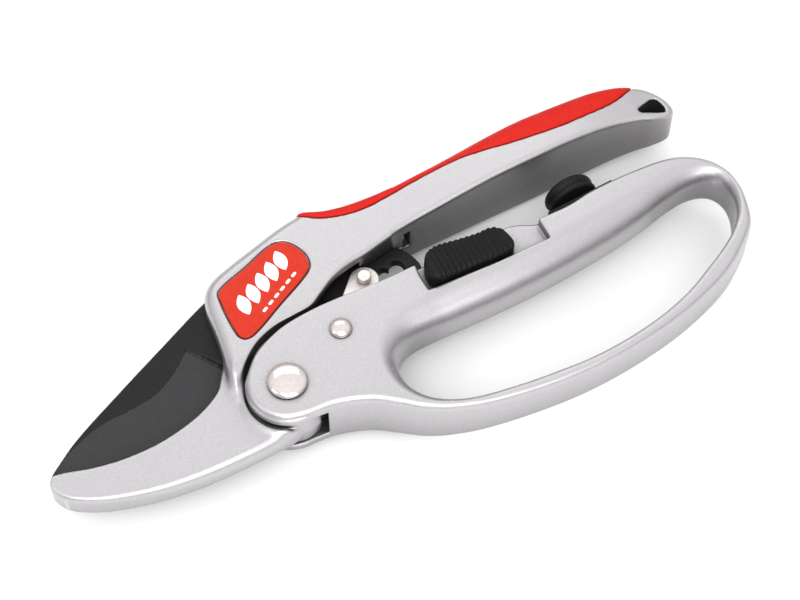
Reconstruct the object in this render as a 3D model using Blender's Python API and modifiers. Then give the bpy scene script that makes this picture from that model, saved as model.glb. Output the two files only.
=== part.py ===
"""Ratchet anvil pruner, about 210 mm long, lying on its back face.

World frame: X runs from the anvil tip (-X) to the handle ends (+X), Y from the
looped lower handle (-Y) to the gripped upper handle (+Y), Z up out of the front
face.  The origin is on the main pivot axis at the level of its rear rivet head.
All outline points below are in millimetres on a drawing whose zero lies close to
the main pivot; the last step moves the whole model so that the pivot is at X = Y = 0.
"""
import math

import bmesh
import bpy
from mathutils import Vector

MM = 0.001

# driving dimensions, millimetres
MID = 11.5
HEAD_HALF = 8.5
JAW_HALF = 4.0
TONGUE_HALF = 4.8
SLOT_HALF = 1.8
BLADE_HALF = 1.5
FORK_HALF = 9.5
FORK_GAP_HALF = 5.5
P1 = (8.0, 22.0)
P2 = (-0.3, -1.7)
P3 = (19.3, 7.1)
PIN = (33.3, 22.2)
PIN_R = 1.7
NOTCHES = [(33.3, 22.2), (39.5, 22.6), (43.7, 23.3)]
NOTCH_R = 2.05
SMALL_RIVET_R = 3.15
SHAFT_R = 2.9
LOCK_FLOOR = 18.2
BUMPER_X = 99.5

NAME = "ratchet_anvil_pruner"

# ------------------------------------------------------------------ start clean
for old in list(bpy.data.objects):
    bpy.data.objects.remove(old, do_unlink=True)

parts = bpy.data.collections.new(NAME)
cutters = bpy.data.collections.new("cutters")
bpy.context.scene.collection.children.link(parts)
bpy.context.scene.collection.children.link(cutters)
cutters.hide_render = True


def material(name, colour, metallic, rough):
    mat = bpy.data.materials.new(name)
    mat.use_nodes = True
    bsdf = mat.node_tree.nodes["Principled BSDF"]
    bsdf.inputs["Base Color"].default_value = (colour[0], colour[1], colour[2], 1.0)
    bsdf.inputs["Metallic"].default_value = metallic
    bsdf.inputs["Roughness"].default_value = rough
    mat.diffuse_color = (colour[0], colour[1], colour[2], 1.0)
    return mat


SILVER = (0.74, 0.72, 0.73)
RED = (0.68, 0.02, 0.01)
BLACK = (0.012, 0.012, 0.012)
STEEL = (0.55, 0.53, 0.50)


# ------------------------------------------------------------------ outline help
def smooth(points, steps=4):
    """Closed curve through the points; a third value of 1 keeps a point sharp."""
    n = len(points)
    pts = [Vector((p[0], p[1])) for p in points]
    sharp = [len(p) > 2 and p[2] == 1 for p in points]
    dirs = []
    for i in range(n):
        d = pts[(i + 1) % n] - pts[i - 1]
        dirs.append(d.normalized())
    out = []
    for i in range(n):
        j = (i + 1) % n
        a = pts[i]
        b = pts[j]
        chord = (b - a).length
        ta = (b - a) if sharp[i] else dirs[i] * chord
        tb = (b - a) if sharp[j] else dirs[j] * chord
        count = 1 if (sharp[i] and sharp[j]) else steps
        for k in range(count):
            t = k / count
            h00 = 2 * t ** 3 - 3 * t ** 2 + 1
            h10 = t ** 3 - 2 * t ** 2 + t
            h01 = -2 * t ** 3 + 3 * t ** 2
            h11 = t ** 3 - t ** 2
            p = a * h00 + ta * h10 + b * h01 + tb * h11
            out.append((p.x, p.y))
    return out


def circle(cx, cy, r, n=24):
    out = []
    for k in range(n):
        a = 2 * math.pi * k / n
        out.append((cx + r * math.cos(a), cy + r * math.sin(a)))
    return out


def capsule(ax, ay, bx, by, r, n=8):
    """Round-ended bar outline from a to b."""
    ang = math.atan2(by - ay, bx - ax)
    out = []
    for k in range(n + 1):
        a = ang - math.pi / 2 + math.pi * k / n
        out.append((bx + r * math.cos(a), by + r * math.sin(a)))
    for k in range(n + 1):
        a = ang + math.pi / 2 + math.pi * k / n
        out.append((ax + r * math.cos(a), ay + r * math.sin(a)))
    return out


# ------------------------------------------------------------------ solid makers
def finish_mesh(mesh, name, collection, mat=None, smooth_shade=True):
    bm = bmesh.new()
    bm.from_mesh(mesh)
    bmesh.ops.remove_doubles(bm, verts=bm.verts, dist=0.00002)
    bmesh.ops.recalc_face_normals(bm, faces=bm.faces)
    for face in bm.faces:
        face.smooth = smooth_shade
    bm.to_mesh(mesh)
    bm.free()
    mesh.name = name
    obj = bpy.data.objects.new(name, mesh)
    collection.objects.link(obj)
    if collection == cutters:
        obj.hide_render = True
        obj.display_type = "WIRE"
    if mat is not None:
        mesh.materials.clear()
        mesh.materials.append(mat)
    return obj


def plate(name, loops, z0, z1, edge=0.0, res=2, mat=None, collection=None):
    """Flat piece from closed outlines (inner ones are holes), edges rounded by edge."""
    curve = bpy.data.curves.new(name + "_curve", "CURVE")
    curve.dimensions = "2D"
    curve.fill_mode = "BOTH"
    half = 0.5 * (z1 - z0) - edge
    curve.extrude = half * MM
    curve.bevel_depth = edge * MM
    curve.bevel_resolution = res
    curve.offset = -edge * MM
    for loop in loops:
        spline = curve.splines.new("POLY")
        spline.points.add(len(loop) - 1)
        for k, p in enumerate(loop):
            spline.points[k].co = (p[0] * MM, p[1] * MM, 0.0, 1.0)
        spline.use_cyclic_u = True
    temp = bpy.data.objects.new(name + "_temp", curve)
    bpy.context.scene.collection.objects.link(temp)
    bpy.context.view_layer.update()
    deps = bpy.context.evaluated_depsgraph_get()
    mesh = bpy.data.meshes.new_from_object(temp.evaluated_get(deps))
    bpy.data.objects.remove(temp, do_unlink=True)
    for v in mesh.vertices:
        v.co.z += 0.5 * (z0 + z1) * MM
    return finish_mesh(mesh, name, collection or cutters, mat)


def squircle(a, b, e, n):
    """Points of a superellipse with half sizes a, b and exponent e."""
    out = []
    for k in range(n):
        t = 2 * math.pi * (k + 0.5) / n
        c = math.cos(t)
        s = math.sin(t)
        x = a * math.copysign(abs(c) ** (2.0 / e), c)
        z = b * math.copysign(abs(s) ** (2.0 / e), s)
        out.append((x, z))
    return out


def blend(a, b, ta, tb, t):
    h00 = 2 * t ** 3 - 3 * t ** 2 + 1
    h10 = t ** 3 - 2 * t ** 2 + t
    h01 = -2 * t ** 3 + 3 * t ** 2
    h11 = t ** 3 - t ** 2
    return a * h00 + ta * h10 + b * h01 + tb * h11


def loft(name, stations, closed, mat=None, collection=None, per=16, steps=3):
    """Skin through sections; a station is (inner xy, outer xy, half depth, exponent)."""
    n = len(stations)
    keys = [Vector((s[0][0], s[0][1], s[1][0], s[1][1], s[2], s[3])) for s in stations]
    rows = []
    last = n if closed else n - 1
    for i in range(last):
        a = keys[i]
        b = keys[(i + 1) % n]
        before = keys[i - 1] if (closed or i > 0) else a
        after = keys[(i + 2) % n] if (closed or i + 2 < n) else b
        ta = (b - before) * 0.5
        tb = (after - a) * 0.5
        for k in range(steps):
            rows.append(blend(a, b, ta, tb, k / steps))
    if not closed:
        rows.append(keys[-1])
    verts = []
    for r in rows:
        inner = Vector((r[0], r[1]))
        outer = Vector((r[2], r[3]))
        mid = (inner + outer) * 0.5
        half = (outer - inner) * 0.5
        for x, z in squircle(1.0, r[4], r[5], per):
            p = mid + half * x
            verts.append((p.x * MM, p.y * MM, (MID + z) * MM))
    faces = []
    count = len(rows)
    for i in range(count if closed else count - 1):
        j = (i + 1) % count
        for k in range(per):
            m = (k + 1) % per
            faces.append((i * per + k, i * per + m, j * per + m, j * per + k))
    if not closed:
        faces.append(tuple(range(per)))
        faces.append(tuple(range((count - 1) * per, count * per)))
    mesh = bpy.data.meshes.new(name)
    mesh.from_pydata(verts, [], faces)
    return finish_mesh(mesh, name, collection or cutters, mat)


def rod(name, x, y, z0, z1, r, mat=None, collection=None, n=24, chamfer=0.0):
    """Round post along Z, its ends chamfered."""
    bpy.ops.mesh.primitive_cylinder_add(vertices=n, radius=r * MM, depth=(z1 - z0) * MM)
    obj = bpy.context.active_object
    mesh = obj.data.copy()
    bpy.data.objects.remove(obj, do_unlink=True)
    for v in mesh.vertices:
        v.co += Vector((x, y, 0.5 * (z0 + z1))) * MM
    made = finish_mesh(mesh, name, collection or cutters, mat)
    if chamfer > 0:
        bev = made.modifiers.new("edge", "BEVEL")
        bev.width = chamfer * MM
        bev.segments = 2
        bev.limit_method = "ANGLE"
        bev.angle_limit = math.radians(50)
    return made


def turned(name, x, y, profile, mat=None, collection=None, n=24):
    """Body of revolution about a vertical axis; profile is (radius, z) pairs."""
    mesh = bpy.data.meshes.new(name + "_line")
    verts = [(r * MM, 0.0, z * MM) for r, z in profile]
    edges = [(i, i + 1) for i in range(len(verts) - 1)]
    mesh.from_pydata(verts, edges, [])
    temp = bpy.data.objects.new(name + "_temp", mesh)
    bpy.context.scene.collection.objects.link(temp)
    screw = temp.modifiers.new("turn", "SCREW")
    screw.steps = n
    screw.render_steps = n
    screw.use_merge_vertices = True
    screw.merge_threshold = 0.00001
    bpy.context.view_layer.update()
    deps = bpy.context.evaluated_depsgraph_get()
    made = bpy.data.meshes.new_from_object(temp.evaluated_get(deps))
    bpy.data.objects.remove(temp, do_unlink=True)
    for v in made.vertices:
        v.co += Vector((x, y, 0.0)) * MM
    return finish_mesh(made, name, collection or cutters, mat)


def wire(name, points, r, mat=None, collection=None):
    """Round wire along a line of points."""
    curve = bpy.data.curves.new(name + "_curve", "CURVE")
    curve.dimensions = "3D"
    curve.bevel_depth = r * MM
    curve.bevel_resolution = 1
    curve.use_fill_caps = True
    spline = curve.splines.new("POLY")
    spline.points.add(len(points) - 1)
    for k, p in enumerate(points):
        spline.points[k].co = (p[0] * MM, p[1] * MM, p[2] * MM, 1.0)
    temp = bpy.data.objects.new(name + "_temp", curve)
    bpy.context.scene.collection.objects.link(temp)
    bpy.context.view_layer.update()
    deps = bpy.context.evaluated_depsgraph_get()
    mesh = bpy.data.meshes.new_from_object(temp.evaluated_get(deps))
    bpy.data.objects.remove(temp, do_unlink=True)
    return finish_mesh(mesh, name, collection or cutters, mat)


def combine(target, other, operation):
    mod = target.modifiers.new(operation.lower(), "BOOLEAN")
    mod.operation = operation
    mod.solver = "EXACT"
    mod.object = other


def cut(target, other):
    combine(target, other, "DIFFERENCE")


def join(target, other):
    combine(target, other, "UNION")


def coil(cx, cy, r, z0, pitch, turns, start, per_turn=14):
    out = []
    total = int(turns * per_turn)
    for k in range(total + 1):
        a = start + 2 * math.pi * k / per_turn
        out.append((cx + r * math.cos(a), cy + r * math.sin(a), z0 + pitch * k / per_turn))
    return out


# ------------------------------------------------------------------ materials
silver = material("silver_paint", SILVER, 0.6, 0.42)
grip_red = material("grip_rubber", RED, 0.0, 0.6)
badge_red = material("badge_red", RED, 0.0, 0.35)
blade_black = material("blade_coating", BLACK, 0.3, 0.45)
black_plastic = material("black_plastic", BLACK, 0.0, 0.5)
rubber = material("bumper_rubber", BLACK, 0.0, 0.7)
nickel = material("nickel_rivet", STEEL, 1.0, 0.2)
zinc = material("zinc_plate", (0.62, 0.58, 0.55), 1.0, 0.35)
spring_steel = material("spring_steel", (0.35, 0.35, 0.36), 1.0, 0.3)
bush_metal = material("bush_bronze", (0.6, 0.42, 0.2), 1.0, 0.35)

# ------------------------------------------------------------------ body casting
HEAD = [
    (-10.4, 22.0), (-10.0, 30.0), (-8.5, 34.8), (-5.6, 37.9), (0.0, 40.5), (9.0, 43.4),
    (17.8, 46.1), (24.0, 47.2), (29.5, 45.9), (37.5, 44.3), (45.0, 44.0), (46.0, 36.0, 1),
    (45.0, 29.3, 1), (33.0, 26.8), (25.0, 24.2), (19.4, 21.4), (15.3, 18.4), (9.5, 17.3),
    (3.0, 15.8), (-4.3, 12.8), (-9.2, 9.0), (-12.6, 4.6, 1), (-12.6, 11.0), (-11.2, 16.0),
]
JAW = [
    (-12.4, 12.0), (-17.7, 6.3), (-25.4, 2.1), (-36.0, -0.6), (-45.8, -1.1), (-54.6, -0.2),
    (-65.2, 1.9), (-66.8, 0.5), (-67.1, -1.6), (-65.4, -5.2), (-62.0, -8.0), (-56.0, -10.7),
    (-48.0, -12.8), (-40.0, -14.1), (-30.0, -14.7), (-20.0, -14.6), (-10.0, -13.9),
    (0.0, -12.4), (0.0, 0.0, 1), (-4.0, 12.0, 1),
]
TONGUE = [
    (-9.6, 3.7), (-11.1, -1.7), (-9.6, -7.1), (-5.7, -11.0), (-0.3, -12.5), (5.1, -11.0),
    (9.1, -7.1), (10.5, -1.7), (10.8, 4.0), (11.5, 12.0), (13.0, 19.0, 1), (-4.0, 19.0, 1),
    (-11.0, 12.0),
]
UPPER = [
    ((24.0, 25.0), (24.0, 47.0), 8.3, 6.0),
    ((33.0, 27.2), (33.0, 45.2), 8.6, 6.0),
    ((42.0, 28.9), (42.0, 44.3), 8.8, 5.5),
    ((52.0, 31.0), (52.0, 44.5), 9.0, 5.0),
    ((61.0, 32.1), (61.0, 45.7), 9.4, 4.6),
    ((78.0, 33.2), (78.0, 48.0), 10.9, 4.2),
    ((93.0, 34.1), (93.0, 49.7), 11.2, 4.0),
    ((105.0, 34.9), (105.0, 50.2), 10.9, 4.0),
    ((115.0, 35.0), (116.0, 50.2), 10.1, 4.0),
    ((124.0, 34.2), (126.0, 48.9), 8.9, 4.0),
    ((131.5, 32.6), (133.6, 46.2), 7.6, 3.8),
    ((136.2, 31.9), (137.8, 42.9), 6.6, 3.4),
    ((139.0, 33.2), (139.8, 38.4), 6.0, 3.0),
]
body = plate("body_casting", [smooth(HEAD)], MID - HEAD_HALF, MID + HEAD_HALF, 1.8, 2, silver, parts)
jaw = plate("add_jaw", [smooth(JAW, 3)], MID - JAW_HALF, MID + JAW_HALF, 1.2, 1)
tongue = plate("add_tongue", [smooth(TONGUE, 3)], MID - TONGUE_HALF, MID + TONGUE_HALF)
upper = loft("add_upper_handle", UPPER, False, per=20, steps=2)
join(body, upper)
join(body, jaw)
join(body, tongue)

# blade slot through the head, open to the left and to the outer edge
SLOT = [
    (-14.0, 14.0), (-10.5, 12.2), (-4.0, 12.6), (3.0, 12.8), (8.0, 11.6), (12.0, 9.8), (30.0, 9.5),
    (52.0, 9.5, 1), (52.0, 30.6, 1), (44.0, 30.4), (36.0, 29.6), (31.0, 31.0), (24.0, 37.0),
    (14.0, 40.4), (4.0, 46.0, 1), (-14.0, 46.0, 1),
]
slot = plate("cut_blade_slot", [smooth(SLOT, 3)], MID - SLOT_HALF, MID + SLOT_HALF)
cut(body, slot)
# wider hollow behind the recess edge, where the pawl swings
POCKET = [
    (13.2, 12.0, 1), (13.2, 24.0), (20.0, 29.5), (27.0, 31.0), (33.6, 30.6, 1), (33.9, 27.0, 1),
    (40.0, 27.0, 1), (40.0, 12.0, 1),
]
pocket = plate("cut_pawl_pocket", [smooth(POCKET, 3)], MID - 5.0, MID + 5.6)
cut(body, pocket)
# badge recesses, front and back
BADGE = [
    (-6.4, 30.4), (-5.2, 33.4), (4.5, 37.4), (13.5, 41.0), (17.6, 40.2), (20.8, 35.2),
    (20.8, 30.2), (18.1, 27.3), (8.0, 21.6), (-1.6, 16.2), (-4.8, 15.8), (-6.4, 18.2),
]


def inset(points, amount):
    cx = sum(p[0] for p in points) / len(points)
    cy = sum(p[1] for p in points) / len(points)
    out = []
    for p in points:
        d = Vector((p[0] - cx, p[1] - cy))
        d = d * (1.0 - amount / d.length)
        out.append((cx + d.x, cy + d.y))
    return out


for side, tag in ((1, "front"), (-1, "back")):
    face = MID + side * HEAD_HALF
    low = min(face - side * 0.7, face + side * 1.0)
    high = max(face - side * 0.7, face + side * 1.0)
    recess = plate("cut_badge_" + tag, [smooth(BADGE, 3)], low, high)
    cut(body, recess)
# pivot holes in the body
hole_main = rod("cut_main_hole", P2[0], P2[1], 2.0, 22.0, SHAFT_R + 1.45)
cut(body, hole_main)
hole_blade = rod("cut_blade_hole", P1[0], P1[1], 5.0, 18.0, 3.85)
cut(body, hole_blade)
# ring grooves for the opening spring in the back of the tongue
groove = rod("cut_spring_groove", P2[0], P2[1], 5.0, 9.1, 8.6)
core = rod("add_groove_core", P2[0], P2[1], 4.0, 9.4, 5.6)
cut(groove, core)
cut(body, groove)
# hanging hole near the handle end, rounded triangle along Z
HANG = [(129.2, 37.3), (134.6, 39.9), (136.0, 39.2), (136.4, 36.0), (135.6, 34.9)]
hang = plate("cut_hang_hole", [smooth(HANG, 4)], -2.0, 26.0)
cut(body, hang)
# small blind pocket in the inner face
blind = plate("cut_blind_pocket", [[(49.4, 28.0), (51.4, 28.0), (51.4, 33.2), (49.4, 33.2)]], 9.0, 16.0)
cut(body, blind)

# ------------------------------------------------------------------ red grip insert
GRIP_LINE = [
    (26.5, 44.8), (29.5, 43.1), (33.5, 41.8), (38.0, 40.9), (44.0, 40.6), (57.0, 42.1),
    (73.0, 43.2), (88.0, 41.5), (105.0, 40.9), (114.0, 41.8), (122.0, 42.9), (133.0, 46.6),
]
grip_zone_pts = [(p[0], p[1]) for p in GRIP_LINE] + [(133.0, 60.0, 1), (24.0, 60.0, 1)]
grip_zone_pts[0] = (24.0, 46.4, 1)
grip_zone = plate("cut_grip_zone", [smooth(grip_zone_pts, 3)], -4.0, 28.0)
CORE = [
    (20.0, 30.0, 1), (20.0, 40.0, 1), (34.0, 41.6), (48.0, 41.6), (61.0, 42.3), (78.0, 43.8),
    (93.0, 45.6), (105.0, 46.6), (115.0, 46.2), (124.0, 44.4), (131.0, 42.0), (135.0, 30.0, 1),
]
core_small = plate("add_grip_core", [smooth(CORE, 3)], MID - 5.0, MID + 5.0)
grip_cut = plate("cut_grip_seat", [smooth(grip_zone_pts, 3)], -4.0, 28.0)
cut(grip_cut, core_small)
cut(body, grip_cut)

grip = loft("grip_insert", UPPER, False, grip_red, parts, per=20, steps=2)


def grown(points, dy):
    return [(p[0], p[1] + dy) + tuple(p[2:]) for p in points]


keep_zone = plate("keep_grip_zone", [smooth(grown(grip_zone_pts, 0.3), 3)], -4.0, 28.0)
core_big = plate("cut_grip_core", [smooth(grown(CORE, 0.3), 3)], MID - 5.3, MID + 5.3)
combine(grip, keep_zone, "INTERSECT")
cut(grip, core_big)

# ------------------------------------------------------------------ badges
for side, tag in ((1, "front"), (-1, "back")):
    face = MID + side * HEAD_HALF
    low = min(face - side * 0.45, face + side * 0.05)
    high = max(face - side * 0.45, face + side * 0.05)
    plate("badge_" + tag, [smooth(inset(BADGE, 0.35), 3)], low, high, 0.0, 1, badge_red, parts)

# ------------------------------------------------------------------ blade
BLADE = [
    (-66.2, 3.0), (-64.0, 5.0), (-56.0, 10.6), (-40.0, 19.2), (-24.0, 27.6), (-10.0, 34.7),
    (-5.6, 36.6), (-1.0, 36.4), (6.0, 36.0), (14.0, 34.6), (22.0, 31.6), (29.0, 29.0),
    (36.0, 28.3), (40.0, 29.3), (43.6, 29.8), (46.6, 28.9), (48.8, 25.6), (50.0, 21.6),
    (49.4, 19.0), (46.0, 18.4), (38.0, 17.9), (28.0, 16.6), (20.0, 16.2), (12.0, 13.6),
    (4.0, 13.2), (-4.0, 13.2), (-9.6, 14.0), (-12.6, 12.5), (-17.9, 6.8), (-25.5, 2.5),
    (-36.0, -0.2), (-45.8, -0.7), (-54.6, 0.2),
]
blade = plate("blade", [smooth(BLADE, 3)], MID - BLADE_HALF, MID + BLADE_HALF, 0.0, 1, blade_black, parts)
blade_hole = rod("cut_blade_eye", P1[0], P1[1], 8.0, 15.0, 3.95)
cut(blade, blade_hole)
# toothed slot: the swept pin path with three round notches
path = [(33.3, 22.2), (36.2, 21.6), (39.1, 21.4), (41.6, 21.6), (43.8, 22.0)]
slot_outline = []
for a, b in zip(path[:-1], path[1:]):
    slot_outline.append(capsule(a[0], a[1], b[0], b[1], NOTCH_R, 6))
for k, seg in enumerate(slot_outline):
    cutter = plate("cut_tooth_path_%d" % k, [seg], 8.0, 15.0)
    cut(blade, cutter)
for k, p in enumerate(NOTCHES):
    cutter = rod("cut_tooth_%d" % k, p[0], p[1], 8.5, 14.5, NOTCH_R + 0.02 * k, n=20)
    cut(blade, cutter)
# long bevel towards the cutting edge, both faces
for side, tag in ((1, "front"), (-1, "back")):
    bevel_pts = [
        (-70.0, 6.0), (-52.0, 9.6), (-36.0, 12.2), (-28.0, 13.8), (-20.6, 17.2), (-14.6, 22.8, 1),
        (-4.0, 12.0, 1), (-14.0, -6.0, 1), (-40.0, -10.0, 1), (-72.0, -8.0, 1),
    ]
    z_in = MID + side * 0.95
    z_out = MID + side * 3.0
    wedge = plate("cut_bevel_" + tag, [smooth(bevel_pts, 3)], min(z_in, z_out), max(z_in, z_out))
    cut(blade, wedge)

# ------------------------------------------------------------------ lower handle
NECK = [
    (-11.4, -1.7), (-10.6, 2.6), (-8.2, 6.2), (-4.2, 10.2), (2.0, 13.4), (7.0, 15.0),
    (13.8, 16.0), (20.4, 16.4), (28.0, 16.4), (36.0, 16.2), (41.0, 9.0, 1), (36.0, 0.5, 1),
    (30.0, -4.5), (27.6, -9.5), (28.0, -15.5), (31.0, -22.0, 1), (31.0, -25.2, 1), (26.0, -22.4),
    (19.0, -17.4), (12.0, -14.2), (6.0, -13.1), (-0.3, -12.8), (-6.0, -11.2), (-9.9, -7.2),
]
RING = [
    ((36.0, -2.4), (35.0, 16.2), 9.5, 4.6), ((50.0, -1.2), (50.0, 17.0), 9.5, 4.6),
    ((66.5, -0.6), (66.0, 18.0), 9.5, 4.4), ((74.0, -0.2), (74.5, 18.6), 9.5, 4.2),
    ((83.0, 0.6), (82.6, 16.2), 9.5, 4.0), ((92.0, 1.8), (91.5, 16.2), 9.4, 3.8),
    ((100.5, 3.2), (99.0, 17.4), 9.2, 3.4), ((114.0, 6.3), (112.0, 19.1), 8.8, 3.0),
    ((123.5, 9.2), (123.5, 19.5), 8.4, 2.8), ((131.5, 10.2), (133.4, 17.4), 8.0, 2.6),
    ((136.8, 7.8), (139.8, 11.8), 7.6, 2.5), ((138.4, 2.8), (142.6, 3.4), 7.3, 2.4),
    ((136.8, -4.4), (141.4, -5.9), 7.2, 2.4), ((132.5, -10.2), (136.6, -12.8), 7.2, 2.4),
    ((125.0, -15.2), (128.3, -19.3), 7.2, 2.4), ((112.0, -21.8), (114.0, -26.0), 7.2, 2.4),
    ((97.0, -26.2), (98.2, -30.2), 7.2, 2.4), ((80.5, -28.4), (80.6, -32.4), 7.2, 2.4),
    ((65.0, -28.2), (64.2, -32.5), 7.3, 2.4), ((51.0, -27.0), (48.5, -30.9), 7.6, 2.6),
    ((41.0, -25.1), (36.6, -28.2), 8.2, 3.0), ((34.2, -21.6), (28.0, -23.9), 8.8, 3.6),
    ((30.4, -16.6), (21.0, -17.6), 9.2, 4.2), ((28.8, -10.5), (16.0, -9.0), 9.4, 4.6),
    ((29.3, -6.2), (17.0, 2.0), 9.4, 4.6), ((31.6, -3.9), (24.0, 10.0), 9.5, 4.6),
]
lower = plate("lower_handle", [smooth(NECK)], MID - FORK_HALF, MID + FORK_HALF, 2.2, 2, silver, parts)
ring = loft("add_loop", RING, True, per=16, steps=2)
join(lower, ring)
FORK_SLOT = [
    (-18.0, -18.0), (6.3, -18.0), (6.3, -12.4), (9.2, -9.8), (11.5, -6.0), (12.4, -1.6),
    (15.0, -0.2), (24.0, 1.2), (34.0, 6.4), (46.0, 9.4), (52.0, 10.4), (52.6, 24.0), (-18.0, 24.0),
]
fork_cut = plate("cut_fork", [FORK_SLOT], MID - FORK_GAP_HALF, MID + FORK_GAP_HALF)
cut(lower, fork_cut)
LOCK_BED = [(46.4, 8.2), (46.2, 13.0), (47.4, 26.0), (84.0, 26.0), (84.0, 8.8), (66.0, 8.0)]
bed_cut = plate("cut_lock_bed", [LOCK_BED], LOCK_FLOOR, 26.0)
cut(lower, bed_cut)
window = plate("cut_lock_window", [[(58.6, 11.6), (74.4, 11.6), (74.4, 15.4), (58.6, 15.4)]], 15.0, 21.0)
cut(lower, window)
channel = plate("cut_latch_channel", [[(48.0, 11.0), (80.0, 11.0), (80.0, 16.0), (48.0, 16.0)]], 8.0, 15.6)
cut(lower, channel)
hole_fork = rod("cut_fork_hole", P2[0], P2[1], 0.5, 22.5, SHAFT_R + 0.12)
cut(lower, hole_fork)
hole_small = rod("cut_small_hole", P3[0], P3[1], 0.5, 22.5, 1.95)
cut(lower, hole_small)
# seat for the bumper foot on the inner edge of the bar
seat = plate("cut_bumper_seat", [[(87.6, 15.0), (111.4, 17.4), (111.4, 26.0), (87.6, 26.0)]], 5.0, 18.0)
cut(lower, seat)

# ------------------------------------------------------------------ main pivot
rivet_profile = [
    (0.0, 0.0), (4.6, 0.0), (5.4, 0.7), (5.4, 1.75), (SHAFT_R, 1.75), (SHAFT_R, 21.25),
    (5.4, 21.25), (5.4, 22.0), (4.9, 22.7), (3.4, 23.1), (0.0, 23.2),
]
turned("main_pivot_rivet", P2[0], P2[1], rivet_profile, nickel, parts, 28)
bush_profile = [
    (3.2, 7.2), (4.05, 7.2), (4.05, 15.8), (3.2, 15.8), (3.2, 7.2),
]
turned("pivot_bush", P2[0], P2[1], bush_profile, bush_metal, parts, 24)
for z0, tag in ((16.45, "front"), (6.15, "back")):
    profile = [(3.2, z0), (7.6, z0), (7.6, z0 + 0.4), (3.2, z0 + 0.4), (3.2, z0)]
    turned("pivot_washer_" + tag, P2[0], P2[1], profile, zinc, parts, 24)
turned(
    "blade_pivot_pin", P1[0], P1[1],
    [(0.0, 5.3), (3.2, 5.3), (3.55, 5.6), (3.55, 17.4), (3.2, 17.7), (0.0, 17.7)], nickel, parts, 24,
)

# opening spring round the bush, in the groove of the tongue
opening = coil(P2[0], P2[1], 7.1, 7.05, 0.9, 1.75, math.radians(200), 12)
wire("opening_spring", opening, 0.38, spring_steel, parts)

# ------------------------------------------------------------------ pawl group
small_profile = [
    (0.0, 0.4), (2.6, 0.4), (3.1, 0.9), (3.1, 1.75), (1.6, 1.75), (1.6, 21.25), (SMALL_RIVET_R, 21.25),
    (SMALL_RIVET_R, 21.9), (2.6, 22.5), (1.6, 22.75), (0.0, 22.8),
]
turned("pawl_rivet", P3[0], P3[1], small_profile, nickel, parts, 20)
PAWL_R = 4.0
pawl_line = capsule(P3[0], P3[1], PIN[0], PIN[1], PAWL_R, 10)
eye = list(reversed(circle(P3[0], P3[1], 1.95, 16)))
pin_eye = list(reversed(circle(PIN[0], PIN[1], 1.45, 14)))
for z0, tag in ((13.3, "front"), (8.2, "back")):
    plate("pawl_plate_" + tag, [pawl_line, eye, pin_eye], z0, z0 + 1.5, 0.0, 1, zinc, parts)
pin_profile = [
    (0.0, 6.6), (1.85, 6.6), (1.85, 8.0), (1.3, 8.0), (1.3, 9.85), (PIN_R, 9.85), (PIN_R, 13.15),
    (1.3, 13.15), (1.3, 15.0), (1.85, 15.0), (1.85, 16.75), (1.55, 17.05), (0.0, 17.05),
]
turned("pawl_pin", PIN[0], PIN[1], pin_profile, zinc, parts, 18)
pawl_coil = coil(P3[0], P3[1], 2.75, 15.35, 0.62, 2.0, math.radians(30))
wire("pawl_spring", pawl_coil, 0.25, spring_steel, parts)

# ------------------------------------------------------------------ lock slider
SLIDER = [
    (48.3, 12.6), (48.9, 16.4), (51.0, 19.0), (54.0, 19.6), (60.0, 18.8), (66.0, 18.2),
    (71.4, 18.6), (73.4, 17.2), (74.0, 13.6), (73.6, 10.4), (71.8, 9.2), (62.0, 9.0),
    (53.6, 8.7), (50.4, 8.9), (48.8, 10.2),
]
slider = plate("lock_slider", [smooth(SLIDER, 2)], LOCK_FLOOR + 0.3, 24.0, 0.9, 1, black_plastic, parts)
saddle = rod("cut_saddle", 0.0, 0.0, -16.0, 16.0, 60.0, n=72)
saddle.rotation_euler = (math.radians(90), 0.0, 0.0)
saddle.location = (62.0 * MM, 13.5 * MM, (60.0 + 22.6) * MM)
cut(slider, saddle)
for k in range(10):
    x = 52.4 + 2.15 * k
    rib = plate("cut_rib_%02d" % k, [[(x, 5.0), (x + 0.8, 5.0), (x + 0.8, 24.0), (x, 24.0)]], 22.0, 27.0)
    rib.location.z = -0.05 * MM
    cut(slider, rib)
screw_hole = rod("cut_slider_eye", 63.0, 13.5, 16.0, 20.6, 1.75, n=16)
cut(slider, screw_hole)
LATCH = [
    (51.2, 15.4), (51.2, 12.4), (53.0, 11.6), (71.0, 11.6), (71.0, 15.4),
]
latch_eye = list(reversed(circle(63.0, 13.5, 1.2, 14)))
plate("latch_plate", [LATCH, latch_eye], 11.2, 13.0, 0.0, 1, zinc, parts)
latch_profile = [
    (0.0, 9.9), (2.0, 9.9), (2.0, 10.9), (0.9, 10.9), (0.9, 13.3), (1.45, 13.3), (1.45, 20.3), (0.0, 20.3),
]
turned("latch_rivet", 63.0, 13.5, latch_profile, zinc, parts, 16)
leaf = [(54.5, 9.3), (57.5, 8.5), (66.0, 8.5), (74.0, 8.5), (78.5, 8.5), (78.5, 8.9), (57.7, 8.9), (54.7, 9.7)]
leaf_mesh = plate("detent_spring", [leaf], -1.5, 1.5, 0.0, 1, spring_steel, parts)
for v in leaf_mesh.data.vertices:
    v.co = Vector((v.co.x, 13.5 * MM - v.co.z, v.co.y))

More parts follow.
